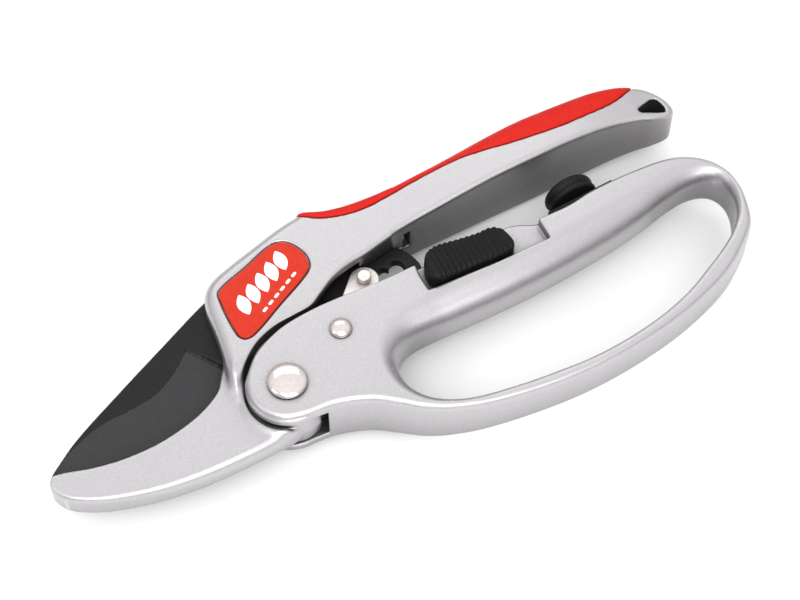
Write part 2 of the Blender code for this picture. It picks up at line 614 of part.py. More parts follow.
# ------------------------------------------------------------------ bumper
FOOT = [(88.2, 15.5), (110.8, 17.9), (110.4, 20.4), (88.6, 18.4)]
foot = plate("bumper_foot", [FOOT], 5.5, 17.5, 0.3, 1, rubber, parts)
stem_cut = rod("cut_foot_eye", 0.0, 0.0, -8.0, 8.0, 1.9, n=16)
stem_cut.rotation_euler = (math.radians(90), 0.0, 0.0)
stem_cut.location = (BUMPER_X * MM, 20.0 * MM, MID * MM)
cut(foot, stem_cut)
cap_profile = [
    (0.0, 17.7), (1.6, 17.7), (1.6, 21.4), (3.4, 22.0), (6.4, 22.1), (6.8, 22.6), (6.8, 25.4),
    (6.2, 26.2), (4.0, 26.6), (0.0, 26.7),
]
cap = turned("bumper_cap", 0.0, 0.0, cap_profile, rubber, parts, 24)
for v in cap.data.vertices:
    v.co = Vector((v.co.x + BUMPER_X * MM, v.co.z, MID * MM - v.co.y))

# ------------------------------------------------------------------ joint axes
AXES = [
    ("axis_handle", (P2[0], P2[1], MID), ["lower_handle", "pawl_rivet", "bumper_foot", "bumper_cap", "pawl_spring"]),
    ("axis_blade", (P1[0], P1[1], MID), ["blade"]),
    ("axis_pawl", (P3[0], P3[1], MID), ["pawl_plate_front", "pawl_plate_back", "pawl_pin"]),
    ("axis_lock", (63.0, 13.5, MID), ["lock_slider", "latch_plate", "latch_rivet"]),
]
for axis_name, where, children in AXES:
    empty = bpy.data.objects.new(axis_name, None)
    empty.location = Vector(where) * MM
    empty.empty_display_size = 0.004
    parts.objects.link(empty)
    bpy.context.view_layer.update()
    for child in children:
        obj = bpy.data.objects[child]
        obj.parent = empty
        obj.matrix_parent_inverse = empty.matrix_world.inverted()

# ------------------------------------------------------------------ origin on the pivot
bpy.context.view_layer.update()
for obj in list(parts.objects) + list(cutters.objects):
    if obj.parent is None:
        obj.location += Vector((-P2[0], -P2[1], 0.0)) * MM
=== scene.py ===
"""Looks of the ratchet anvil pruner: castings, grip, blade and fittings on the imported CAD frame."""
import math

import bpy
import numpy as np
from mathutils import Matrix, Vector


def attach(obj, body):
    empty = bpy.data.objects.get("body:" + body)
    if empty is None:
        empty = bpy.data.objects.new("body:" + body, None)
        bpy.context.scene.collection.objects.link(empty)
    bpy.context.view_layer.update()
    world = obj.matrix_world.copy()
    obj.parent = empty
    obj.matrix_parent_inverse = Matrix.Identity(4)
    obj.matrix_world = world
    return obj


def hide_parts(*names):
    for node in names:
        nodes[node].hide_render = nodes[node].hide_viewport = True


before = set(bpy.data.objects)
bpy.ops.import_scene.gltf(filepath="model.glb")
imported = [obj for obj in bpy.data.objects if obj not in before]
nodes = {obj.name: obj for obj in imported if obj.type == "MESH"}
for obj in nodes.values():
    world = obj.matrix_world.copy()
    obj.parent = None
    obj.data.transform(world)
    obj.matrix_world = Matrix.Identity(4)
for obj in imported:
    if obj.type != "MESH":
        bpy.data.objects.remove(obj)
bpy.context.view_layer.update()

# Outlines and heights are in millimetres; SHIFT carries the outlines' origin to the main pivot.
MM = 0.001
MID = 11.5  # height of the middle plane, about which front and back mirror each other
BLADE_PIVOT = (8.0, 22.0)
MAIN_PIVOT = (-0.3, -1.7)
PAWL_PIVOT = (19.3, 7.1)
TOOTH_PIN = (33.3, 22.2)
SHIFT = np.array([-MAIN_PIVOT[0], -MAIN_PIVOT[1], 0.0])


# ------------------------------------------------------------------ outlines
def cubic(a, b, ta, tb, t):
    """Point at t between a and b on the curve with these end directions."""
    start = a * (2 * t**3 - 3 * t**2 + 1) + ta * (t**3 - 2 * t**2 + t)
    return start + b * (-2 * t**3 + 3 * t**2) + tb * (t**3 - t**2)


def smooth(points, steps=6):
    """Closed curve through the points; a third value of 1 keeps a point sharp."""
    n = len(points)
    pts = np.array([p[:2] for p in points], float)
    sharp = [len(p) > 2 and p[2] == 1 for p in points]
    dirs = np.roll(pts, -1, 0) - np.roll(pts, 1, 0)
    dirs /= np.linalg.norm(dirs, axis=1)[:, None] + 1e-12
    out = []
    for i in range(n):
        j = (i + 1) % n
        a, b = pts[i], pts[j]
        chord = np.linalg.norm(b - a)
        ta = (b - a) if sharp[i] else dirs[i] * chord
        tb = (b - a) if sharp[j] else dirs[j] * chord
        for k in range(1 if (sharp[i] and sharp[j]) else steps):
            out.append(cubic(a, b, ta, tb, k / steps))
    return np.array(out)


def open_curve(points, steps=6):
    """Points along an open smooth curve."""
    pts = np.array([p[:2] for p in points], float)
    out = []
    for i in range(len(pts) - 1):
        a, b = pts[i], pts[i + 1]
        p = pts[max(i - 1, 0)]
        q = pts[min(i + 2, len(pts) - 1)]
        chord = np.linalg.norm(b - a)
        ta = (b - p) / (np.linalg.norm(b - p) + 1e-12) * chord
        tb = (q - a) / (np.linalg.norm(q - a) + 1e-12) * chord
        for k in range(steps):
            out.append(cubic(a, b, ta, tb, k / steps))
    out.append(pts[-1])
    return np.array(out)


def segment_distance(x, y, line, closed):
    """Distance from grid columns to a polyline."""
    best = np.full(x.shape, 1e9, np.float32)
    n = len(line)
    for i in range(n if closed else n - 1):
        ax, ay = line[i]
        bx, by = line[(i + 1) % n]
        dx, dy = bx - ax, by - ay
        span = dx * dx + dy * dy + 1e-12
        t = np.clip(((x - ax) * dx + (y - ay) * dy) / span, 0, 1)
        d = (x - ax - t * dx) ** 2 + (y - ay - t * dy) ** 2
        np.minimum(best, d, out=best)
    return np.sqrt(best)


def signed(x, y, line):
    """Signed distance to a closed outline, negative inside."""
    inside = np.zeros(x.shape, bool)
    n = len(line)
    for i in range(n):
        ax, ay = line[i]
        bx, by = line[(i + 1) % n]
        if ay == by:
            continue
        hit = (ay > y) != (by > y)
        inside ^= hit & (x < (bx - ax) * (y - ay) / (by - ay) + ax)
    d = segment_distance(x, y, line, True)
    return np.where(inside, -d, d).astype(np.float32)


def step(lo, hi, v):
    """Smooth rise from 0 at lo to 1 at hi."""
    t = np.clip((v - lo) / (hi - lo), 0, 1)
    return t * t * (3 - 2 * t)


def smin(a, b, k):
    """Union of two fields with a fillet of about k."""
    h = np.maximum(k - np.abs(a - b), 0) / k
    return np.minimum(a, b) - h * h * k * 0.25


def smax(a, b, k):
    """Intersection of two fields with a fillet of about k."""
    return -smin(-a, -b, k)


class Grid:
    """Samples a box of space; x and y are planes of columns, z is one line of heights."""

    def __init__(self, lo, hi, h):
        self.lo = np.array(lo, float)
        self.h = h
        n = np.ceil((np.array(hi) - self.lo) / h).astype(int) + 1
        xs = self.lo[0] + h * np.arange(n[0])
        ys = self.lo[1] + h * np.arange(n[1])
        self.x, self.y = np.meshgrid(xs.astype(np.float32), ys.astype(np.float32), indexing="ij")
        self.z = (self.lo[2] + h * np.arange(n[2])).astype(np.float32)[None, None, :]

    def column(self, a):
        return np.asarray(a, np.float32)[:, :, None]

    def slab(self, d2, z0, z1):
        """Straight-sided plate with the outline d2 between two heights."""
        mid, half = 0.5 * (z0 + z1), 0.5 * (z1 - z0)
        return np.maximum(self.column(d2), np.abs(self.z - mid) - half)

    def rounded(self, d2, half, r, v, mid=MID):
        """Plate whose edges are rounded r sideways and v in height; all may vary over the plane."""
        r = self.column(np.broadcast_to(r, self.x.shape))
        v = self.column(np.broadcast_to(v, self.x.shape))
        half = self.column(np.broadcast_to(half, self.x.shape))
        mid = self.column(np.broadcast_to(mid, self.x.shape))
        qx = np.maximum((self.column(d2) + r) / r, 0)
        qz = np.maximum((np.abs(self.z - mid) - (half - v)) / v, 0)
        n2 = qx * qx + qz * qz
        m = (r * qx * qx + v * qz * qz) / (n2 + 1e-9)
        return np.where(n2 < 1e-8, -np.minimum(r, v), (np.sqrt(n2) - 1) * m).astype(np.float32)


# ------------------------------------------------------------------ surface from a field
def skin(name, grid, field, mat, sub=3):
    """Closed mesh on the zero level of the field, with its true normals."""
    inside = field < 0
    shape = np.array(field.shape)
    cells = shape - 1
    total = int(np.prod(cells))
    acc = np.zeros((total, 3))
    count = np.zeros(total)
    quads = []
    strides = np.array([cells[1] * cells[2], cells[2], 1])
    for axis in range(3):
        a = [slice(None)] * 3
        b = [slice(None)] * 3
        a[axis] = slice(0, -1)
        b[axis] = slice(1, None)
        cross = np.argwhere(inside[tuple(a)] != inside[tuple(b)])
        u, w = (axis + 1) % 3, (axis + 2) % 3
        ok = (cross[:, u] > 0) & (cross[:, u] < shape[u] - 1)
        ok &= (cross[:, w] > 0) & (cross[:, w] < shape[w] - 1)
        cross = cross[ok]
        nxt = cross.copy()
        nxt[:, axis] += 1
        fa = field[cross[:, 0], cross[:, 1], cross[:, 2]]
        fb = field[nxt[:, 0], nxt[:, 1], nxt[:, 2]]
        pos = cross.astype(float)
        pos[:, axis] += fa / (fa - fb)
        ids = []
        for du, dw in ((-1, -1), (0, -1), (0, 0), (-1, 0)):
            cell = cross.copy()
            cell[:, u] += du
            cell[:, w] += dw
            flat = cell @ strides
            ids.append(flat)
            count += np.bincount(flat, minlength=total)
            for k in range(3):
                acc[:, k] += np.bincount(flat, weights=pos[:, k], minlength=total)
        quad = np.stack(ids, 1)
        quads.append(np.where((fa < 0)[:, None], quad, quad[:, ::-1]))
    quads = np.concatenate(quads)
    used = np.nonzero(count)[0]
    index = np.full(total, -1)
    index[used] = np.arange(len(used))
    pts = acc[used] / count[used][:, None]
    quads = index[quads]

    def sample(p):
        q = np.clip(p, 0, shape - 1.001)
        i = q.astype(int)
        f = q - i
        val = 0
        for dx in (0, 1):
            wx = f[:, 0] if dx else 1 - f[:, 0]
            for dy in (0, 1):
                wy = f[:, 1] if dy else 1 - f[:, 1]
                for dz in (0, 1):
                    wz = f[:, 2] if dz else 1 - f[:, 2]
                    val = val + wx * wy * wz * field[i[:, 0] + dx, i[:, 1] + dy, i[:, 2] + dz]
        return val

    def gradient(p, e=0.6):
        g = np.zeros(p.shape)
        for k in range(3):
            d = np.zeros(3)
            d[k] = e
            g[:, k] = (sample(p + d) - sample(p - d)) / (2 * e)
        return g

    for _ in range(sub):
        g = gradient(pts)
        move = g * (sample(pts) / (np.sum(g * g, 1) + 1e-6))[:, None]
        size = np.linalg.norm(move, axis=1)
        move *= np.minimum(1, 0.35 / (size + 1e-9))[:, None]
        pts = pts - move
    normals = gradient(pts)
    normals /= np.linalg.norm(normals, axis=1)[:, None] + 1e-12
    world = (grid.lo + pts * grid.h + SHIFT) * MM
    mesh = bpy.data.meshes.new(name)
    mesh.from_pydata(world.tolist(), [], quads.tolist())
    mesh.shade_smooth()
    mesh.normals_split_custom_set_from_vertices(normals.tolist())
    mesh.materials.append(mat)
    obj = bpy.data.objects.new(name, mesh)
    bpy.context.scene.collection.objects.link(obj)
    return obj


def second_finish(obj, mat, chosen):
    """Gives another material to the faces whose centres are chosen, seen from above."""
    obj.data.materials.append(mat)
    centres = np.array([p.center[:2] for p in obj.data.polygons]) / MM - SHIFT[:2]
    picked = chosen(centres[:, 0], centres[:, 1])
    obj.data.polygons.foreach_set("material_index", picked.astype(np.int32))


def place(obj, body, slot, *replaced):
    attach(obj, body)
    if replaced:
        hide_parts(*replaced)
    return obj


# ------------------------------------------------------------------ materials
def mixed(tree, low, high, factor):
    mix = tree.nodes.new("ShaderNodeMix")
    mix.data_type = "RGBA"
    mix.inputs["A"].default_value = (*low, 1)
    mix.inputs["B"].default_value = (*high, 1)
    tree.links.new(factor, mix.inputs["Factor"])
    return mix.outputs["Result"]


def grain(tree, size, detail=3.0):
    """Noise with blobs of that size in millimetres, fixed to the piece."""
    coord = tree.nodes.new("ShaderNodeTexCoord")
    shape = tree.nodes.new("ShaderNodeMapping")
    shape.inputs["Scale"].default_value = [1 / (size * MM)] * 3
    noise = tree.nodes.new("ShaderNodeTexNoise")
    noise.inputs["Scale"].default_value = 1.0
    noise.inputs["Detail"].default_value = detail
    noise.inputs["Roughness"].default_value = 0.55
    tree.links.new(coord.outputs["Object"], shape.inputs["Vector"])
    tree.links.new(shape.outputs["Vector"], noise.inputs["Vector"])
    return noise.outputs["Fac"]


def ranged(tree, value, lo, hi, a=0.35, b=0.65):
    node = tree.nodes.new("ShaderNodeMapRange")
    node.inputs["From Min"].default_value = a
    node.inputs["From Max"].default_value = b
    node.inputs["To Min"].default_value = lo
    node.inputs["To Max"].default_value = hi
    tree.links.new(value, node.inputs["Value"])
    return node.outputs["Result"]


def finish_mat(
    name, low, high, metallic, rough, grain_mm, bump_mm, height,
    edge=0.0, highlight_tint=None, painted_shade_mm=0.0, **sockets
):
    """Principled finish: speckle, uneven gloss, fine relief, paler convex edges as painted highlight and
    occlusion darkening as painted shade.
    """
    mat = bpy.data.materials.new(name)
    mat.use_nodes = True
    tree = mat.node_tree
    bsdf = tree.nodes["Principled BSDF"]
    colour = mixed(tree, low, high, ranged(tree, grain(tree, grain_mm), 0, 1))
    # Convex edges turn paler by pointiness: a painted highlight along the rounded edges.
    if edge > 0:
        geo = tree.nodes.new("ShaderNodeNewGeometry")
        edge_highlight = ranged(tree, geo.outputs["Pointiness"], 0, edge, 0.515, 0.60)
        top = tree.nodes.new("ShaderNodeMix")
        top.data_type = "RGBA"
        top.inputs["B"].default_value = (*highlight_tint, 1)
        tree.links.new(edge_highlight, top.inputs["Factor"])
        tree.links.new(colour, top.inputs["A"])
        colour = top.outputs["Result"]
    # Ambient occlusion multiplies the colour darker in corners, hollows and between parts: painted shade.
    if painted_shade_mm > 0:
        occlusion_node = tree.nodes.new("ShaderNodeAmbientOcclusion")
        occlusion_node.samples = 8
        occlusion_node.inputs["Distance"].default_value = painted_shade_mm * MM
        painted_shade_mix = tree.nodes.new("ShaderNodeMix")
        painted_shade_mix.data_type = "RGBA"
        painted_shade_mix.blend_type = "MULTIPLY"
        painted_shade_mix.inputs["Factor"].default_value = 1.0
        tree.links.new(colour, painted_shade_mix.inputs["A"])
        tree.links.new(ranged(tree, occlusion_node.outputs["AO"], 0.30, 1.0, 0.28, 0.92), painted_shade_mix.inputs["B"])
        colour = painted_shade_mix.outputs["Result"]
    tree.links.new(colour, bsdf.inputs["Base Color"])
    uneven = ranged(tree, grain(tree, grain_mm * 6, 2.0), rough[0], rough[1])
    tree.links.new(uneven, bsdf.inputs["Roughness"])
    bsdf.inputs["Metallic"].default_value = metallic
    for key, value in sockets.items():
        bsdf.inputs[key.replace("_", " ")].default_value = value
    relief = tree.nodes.new("ShaderNodeBump")
    relief.inputs["Strength"].default_value = 1.0
    relief.inputs["Distance"].default_value = height * MM
    tree.links.new(grain(tree, bump_mm, 2.0), relief.inputs["Height"])
    tree.links.new(relief.outputs["Normal"], bsdf.inputs["Normal"])
    return mat


# Silver: its pale edge tint is painted highlight and its 24 mm occlusion darkening is painted shade.
silver = finish_mat(
    "silver_paint", (0.465, 0.45, 0.465), (0.55, 0.535, 0.55), 0.94, (0.34, 0.40), 0.30, 0.5, 0.006,
    0.6, (0.72, 0.70, 0.72), 24.0, Coat_Weight=0.06, Coat_Roughness=0.25,
)
grip_red = finish_mat(
    "grip_rubber", (0.50, 0.008, 0.003), (0.60, 0.012, 0.005), 0.0, (0.50, 0.62), 0.7, 0.35, 0.02,
    Specular_IOR_Level=0.2,
)
badge_red = finish_mat(
    "badge_red", (0.52, 0.024, 0.008), (0.56, 0.029, 0.011), 0.0, (0.42, 0.50), 1.6, 2.5, 0.003,
    Specular_IOR_Level=0.2,
)
badge_white = finish_mat(
    "badge_white", (0.84, 0.83, 0.81), (0.90, 0.89, 0.88), 0.0, (0.30, 0.40), 1.2, 1.6, 0.004,
)
# The pale edge tints of the blade, the bevel and the black plastic below are painted highlight.
blade_dark = finish_mat(
    "blade_coating", (0.004, 0.0035, 0.004), (0.007, 0.0065, 0.0075), 0.0, (0.46, 0.56), 0.45, 0.4, 0.004,
    0.35, (0.06, 0.06, 0.065), Specular_IOR_Level=0.28,
)
blade_bevel = finish_mat(
    "blade_bevel", (0.016, 0.015, 0.017), (0.024, 0.0225, 0.025), 0.0, (0.42, 0.52), 0.45, 0.4, 0.004,
    0.35, (0.10, 0.10, 0.105), Specular_IOR_Level=0.4,
)
black_plastic = finish_mat(
    "black_plastic", (0.004, 0.004, 0.004), (0.008, 0.008, 0.008), 0.0, (0.40, 0.52), 0.6, 0.3, 0.012,
    0.4, (0.03, 0.03, 0.03), Specular_IOR_Level=0.18,
)
rubber = finish_mat(
    "black_rubber", (0.005, 0.005, 0.0055), (0.011, 0.011, 0.011), 0.0, (0.45, 0.60), 0.6, 0.35, 0.018,
    Specular_IOR_Level=0.18,
)
# The occlusion darkening of the rivets and the zinc parts is painted shade.
nickel = finish_mat(
    "nickel_rivet", (0.68, 0.62, 0.60), (0.74, 0.68, 0.66), 1.0, (0.09, 0.12), 1.2, 2.0, 0.0003, painted_shade_mm=4.0,
)
zinc = finish_mat(
    "zinc_plate", (0.70, 0.64, 0.61), (0.84, 0.78, 0.75), 0.85, (0.34, 0.48), 0.5, 0.5, 0.008, painted_shade_mm=3.0,
)
spring_steel = finish_mat(
    "spring_steel", (0.30, 0.30, 0.31), (0.42, 0.42, 0.43), 1.0, (0.22, 0.34), 0.5, 0.6, 0.004,
)
bush_metal = finish_mat(
    "bush_bronze", (0.45, 0.30, 0.15), (0.60, 0.42, 0.22), 1.0, (0.30, 0.42), 0.5, 0.6, 0.006,
)
# Black for the walls of the hanging hole: painted shade where the hole is only in shadow.
painted_shade_black = finish_mat(
    "painted_shade_recess", (0.004, 0.004, 0.004), (0.008, 0.008, 0.008), 0.0, (0.6, 0.8), 0.6, 0.6, 0.01,
)


# ------------------------------------------------------------------ values that vary over the plane
def spread(x, y, table, reach=9.0):
    """Smoothly blends the values stated at points; returns one plane for each value."""
    total = np.zeros(x.shape)
    sums = [np.zeros(x.shape) for _ in table[0][2:]]
    for row in table:
        w = np.exp(-((x - row[0]) ** 2 + (y - row[1]) ** 2) / (2 * reach**2)) + 1e-9
        total += w
        for k, value in enumerate(row[2:]):
            sums[k] += w * value
    return [s / total for s in sums]


# ------------------------------------------------------------------ body casting
HEAD = [
    (-11.2, 22.0), (-10.5, 30.0), (-9.0, 34.6), (-6.0, 37.7), (0.0, 40.3), (9.0, 43.3), (17.8, 46.1),
    (24.0, 47.2), (29.5, 45.7), (37.5, 44.1), (45.0, 43.8), (52.0, 44.0, 1), (52.0, 36.0, 1),
    (45.0, 29.3, 1), (33.0, 26.4), (25.0, 23.8), (19.4, 20.4), (15.6, 18.0), (10.5, 17.2), (4.5, 16.4),
    (-1.0, 14.4), (-5.0, 11.7), (-8.8, 7.9), (-13.4, 2.0, 1), (-13.4, 7.0), (-12.6, 12.0),
    (-11.8, 17.0),
]
RECESS_EDGE = [
    (-12.0, 4.0), (-8.8, 7.9), (-5.0, 11.7), (-1.0, 14.4), (4.5, 16.4), (10.5, 17.2), (15.6, 18.0),
    (19.4, 20.4), (25.0, 23.8), (33.0, 26.4), (46.0, 29.4),
]
JAW = [
    (-12.4, 12.0), (-17.7, 6.3), (-25.4, 2.1), (-36.0, -0.6), (-45.8, -1.1), (-54.6, -0.1),
    (-65.2, 2.3), (-66.8, 0.9), (-67.1, -1.3), (-65.4, -4.7), (-62.0, -7.4), (-56.0, -10.2),
    (-48.0, -12.6), (-40.0, -14.2), (-30.0, -15.1), (-20.0, -15.1), (-10.0, -14.5),
    (-4.0, -13.5), (0.0, -12.4, 1), (0.0, 0.0, 1), (-4.0, 12.0, 1),
]
LANDING = [
    (-10.0, 15.0), (-12.4, 12.0), (-17.7, 6.3), (-25.4, 2.1), (-36.0, -0.6), (-45.8, -1.1),
    (-54.6, -0.1), (-65.2, 2.3),
]
HANDLE_TOP = [
    (24.0, 47.2), (33.0, 44.9), (42.0, 44.0), (52.0, 44.6), (61.0, 45.8), (78.0, 47.9), (93.0, 49.5),
    (102.5, 49.9), (110.0, 50.1), (117.5, 49.9), (124.0, 49.1), (129.0, 47.9), (134.0, 45.8), (137.0, 43.3),
]
HANDLE_END = [(139.1, 40.0), (139.8, 37.0), (139.4, 34.7), (137.6, 33.0)]
HANDLE_LOW = [
    (132.5, 33.3), (127.8, 34.3), (121.5, 35.0), (115.0, 35.2), (108.4, 35.0), (101.7, 34.7), (94.8, 34.2),
    (78.0, 33.1), (61.0, 31.4), (52.0, 30.4), (45.0, 29.3), (33.0, 26.8), (24.0, 30.0),
]
HALF_LINE = [
    (20.0, 8.5), (33.0, 8.5), (42.0, 8.6), (52.0, 9.0), (61.0, 9.6), (78.0, 10.7), (93.0, 11.1),
    (105.0, 10.8), (112.0, 10.3), (118.0, 9.6), (124.0, 8.7), (129.0, 7.9), (133.0, 7.1), (140.0, 5.8),
]
SLOT = [
    (-14.0, 14.0), (-10.5, 12.2), (-4.0, 12.6), (3.0, 12.8), (8.0, 11.6), (12.0, 9.8), (30.0, 9.5),
    (52.0, 9.5, 1), (52.0, 30.6, 1), (44.0, 30.4), (36.0, 29.6), (31.0, 31.0), (24.0, 37.0),
    (14.0, 40.4), (4.0, 46.0, 1), (-14.0, 46.0, 1),
]
POCKET = [
    (13.2, 12.0, 1), (13.2, 24.0), (20.0, 29.5), (27.0, 31.0), (33.6, 30.6, 1), (33.9, 26.0, 1),
    (40.0, 24.0, 1), (40.0, 12.0, 1),
]
BADGE = [
    (-6.4, 30.4), (-5.2, 33.4), (4.5, 37.4), (13.5, 41.0), (17.6, 40.2), (20.8, 35.2),
    (20.8, 30.2), (18.1, 27.3), (8.0, 21.6), (-1.6, 16.2), (-4.8, 15.8), (-6.4, 18.2),
]
NECK = [(-10.6, 0.0), (-4.0, -11.0), (4.0, -11.0), (10.4, 0.0), (13.0, 19.0, 1), (-9.0, 17.0, 1)]
HANG = [
    (129.0, 37.5), (132.0, 39.3), (135.2, 40.2), (136.5, 39.2), (137.0, 36.6), (136.6, 35.0),
    (135.6, 34.8), (132.2, 35.8),
]
GRIP_LINE = [
    (24.0, 47.2), (26.5, 45.0), (29.5, 43.1), (33.5, 41.7), (38.0, 40.8), (44.0, 40.6), (50.0, 41.2),
    (57.0, 42.1), (66.0, 43.0), (73.0, 43.2), (80.0, 42.6), (88.0, 41.5), (97.0, 40.8), (105.0, 40.6),
    (114.0, 41.3), (122.0, 42.4), (128.0, 44.4), (133.0, 47.4),
]
GRIP_ZONE = GRIP_LINE + [(134.0, 60.0, 1), (20.0, 60.0, 1)]
CORE = [
    (20.0, 30.0, 1), (20.0, 40.0, 1), (34.0, 41.6), (48.0, 41.6), (61.0, 42.3), (78.0, 43.8),
    (93.0, 45.2), (105.0, 46.0), (115.0, 45.9), (124.0, 44.8), (131.0, 42.6), (135.0, 30.0, 1),
]
RECESS_R = 11.4  # round seat for the lower handle's cheeks
RIM_R = 12.1  # raised lip round that seat
TONGUE_R = 11.1  # web between the cheeks
BORE_R = 4.2


def upper_field(g):
    """Head and upper handle in one: rounded over on the outside, crisp on the inside."""
    x, y = g.x, g.y
    d_head = signed(x, y, smooth(HEAD))
    w = 1 - step(1.5, 4.5, segment_distance(x, y, open_curve(RECESS_EDGE), False))
    w = w * step(-13.5, -9.0, x)
    r_head = 3.2 - 2.6 * w
    half_head = 4.4 + 4.1 * step(2.0, 13.0, y - 0.25 * x)
    d_handle = signed(x, y, smooth(HANDLE_TOP + HANDLE_END + HANDLE_LOW))
    outer = segment_distance(x, y, open_curve(HANDLE_TOP), False)
    inner = segment_distance(x, y, open_curve(HANDLE_LOW), False)
    w = step(0.25, 0.75, inner / (inner + outer + 0.01))
    body_part = step(38.0, 75.0, x)
    end = step(106.0, 132.0, x)
    r_handle = 1.4 * (1 - w) + w * (2.2 + 2.6 * body_part - 2.6 * end)
    v_handle = 1.4 * (1 - w) + w * (2.2 + 4.2 * body_part - 4.2 * end)
    line = open_curve(HALF_LINE)
    half_handle = np.interp(x, line[:, 0], line[:, 1])
    t = step(20.0, 34.0, x)
    half = half_head * (1 - t) + half_handle * t
    r = r_head * (1 - t) + r_handle * t
    v = r_head * (1 - t) + v_handle * t
    return g.rounded(smin(d_head, d_handle, 1.5), half, r, v)


def body_shape(g):
    """Jaw, head and upper handle, with the recess, slots, pocket, badge seats and holes cut."""
    x, y = g.x, g.y
    rr = np.hypot(x - MAIN_PIVOT[0], y - MAIN_PIVOT[1])
    rim = 0.8 * np.exp(-(((rr - RIM_R) / 1.5) ** 2))
    near_landing = 1 - step(2.0, 5.0, segment_distance(x, y, open_curve(LANDING), False))
    wide = step(-66.0, -10.0, x)
    edge = (1.2 + 1.3 * wide) * (1 - near_landing) + 0.45 * near_landing
    drop = (1.8 + 2.0 * wide) * (1 - near_landing) + 0.45 * near_landing
    jaw = g.rounded(signed(x, y, smooth(JAW)), 4.0 + rim, edge, drop)
    f = smin(upper_field(g), jaw, 3.2)
    recess = np.maximum(g.column(rr - RECESS_R), 3.3 - np.abs(g.z - MID))
    f = smax(f, -recess, 0.5)
    draft = 0.12 * np.abs(g.z - MID)
    tongue = np.maximum(g.column(rr) - TONGUE_R + draft, np.abs(g.z - MID) - 5.15)
    hub = np.maximum(g.column(rr) - 8.0, 4.8 - np.abs(g.z - MID))
    tongue = np.maximum(tongue, -hub)
    tongue = smin(tongue, g.slab(signed(x, y, smooth(NECK)), MID - 4.8, MID + 4.8), 0.5)
    notch = np.maximum(g.column(5.0 - x), g.column(y + 8.5))
    f = np.minimum(f, smax(tongue, -notch, 0.3))
    slot = g.slab(signed(x, y, smooth(SLOT, 3)), MID - 1.8, MID + 1.8)
    f = smax(f, -slot, 0.3)
    pocket = g.slab(signed(x, y, smooth(POCKET, 3)), MID - 5.0, MID + 5.6)
    f = smax(f, -pocket, 0.4)
    badge = g.column(signed(x, y, smooth(BADGE)))
    seat = np.maximum(badge, 7.85 - np.abs(g.z - MID))
    f = smax(f, -seat, 0.35)
    f = smax(f, -g.slab(signed(x, y, smooth(HANG)), -5.0, 30.0), 0.6)
    blind = np.maximum(np.abs(g.column(x) - 50.4) - 1.0, np.abs(g.column(y) - 30.6) - 3.0)
    f = smax(f, -np.maximum(blind, np.abs(g.z - 12.5) - 3.4), 0.4)
    core = np.maximum(g.column(signed(x, y, smooth(CORE, 3))), np.abs(g.z - MID) - 5.0)
    zone = g.column(signed(x, y, smooth(GRIP_ZONE)))
    f = smax(f, -np.maximum(zone, -core), 0.35)
    f = smax(f, BORE_R - g.column(rr), 0.3)
    return f.astype(np.float32)


def grip_shape(g):
    """The part of the upper handle behind the grip line, less the casting's core."""
    x, y = g.x, g.y
    core = np.maximum(g.column(signed(x, y, smooth(CORE, 3)) - 0.3), np.abs(g.z - MID) - 5.3)
    zone = g.column(signed(x, y, smooth(GRIP_ZONE)) + 0.28)
    f = smax(upper_field(g) - 0.12, zone, 0.6)
    return smax(f, -core, 0.4).astype(np.float32)


FINE = 0.42  # grid step of the two castings and the grip
g = Grid((-70.0, -16.0, -1.2), (142.5, 51.5, 24.2), FINE)
body = skin("body_casting_skin", g, body_shape(g), silver)
# The hanging hole's walls are made black: painted shade.
second_finish(body, painted_shade_black, lambda x, y: signed(x, y, smooth(HANG)) < 0.1)
place(body, "body", "silver_paint", "body_casting")
g = Grid((20.0, 37.0, -1.5), (139.0, 52.5, 24.5), FINE)
grip = skin("grip_skin", g, grip_shape(g), grip_red)
place(grip, "body", "grip_rubber", "grip_insert")


# ------------------------------------------------------------------ lower handle
OUTER = [
    (-11.4, -1.7), (-10.6, 2.6), (-8.2, 6.3), (-4.2, 10.3), (2.0, 13.5), (7.0, 15.1), (13.8, 16.1),
    (20.4, 16.5), (28.0, 16.5), (36.0, 16.4), (48.0, 17.0), (60.0, 17.5), (70.0, 18.4), (76.0, 18.6),
    (80.0, 17.5), (83.5, 15.9), (88.0, 15.8), (94.7, 16.4), (101.0, 17.7), (108.6, 18.8), (117.6, 19.4),
    (124.8, 19.5), (131.8, 18.3), (138.2, 14.3), (141.7, 8.7), (142.4, 2.5), (141.1, -4.0),
    (138.7, -9.6), (133.3, -14.9), (124.0, -21.2), (110.5, -26.5), (97.0, -29.8), (80.0, -32.0),
    (64.4, -32.1), (46.5, -30.2), (36.0, -27.4), (29.0, -24.1), (23.0, -19.8), (17.0, -15.9),
    (8.0, -13.2), (-0.3, -12.8), (-6.0, -11.2), (-9.9, -7.2),
]
HOLE = [
    (34.0, -2.6), (39.0, -1.3), (51.0, -1.0), (67.0, -0.5), (83.0, 0.8), (100.5, 3.2), (114.0, 6.0),
    (123.5, 8.7), (131.5, 9.9), (137.2, 8.2), (139.1, 3.2), (137.2, -4.0), (132.3, -9.8),
    (126.7, -13.8), (120.8, -17.1), (110.0, -22.4), (96.6, -26.4), (80.3, -28.7), (65.3, -28.6),
    (51.0, -27.5), (41.0, -25.7), (34.0, -22.2), (30.2, -17.8), (28.7, -12.6), (29.8, -6.6),
]
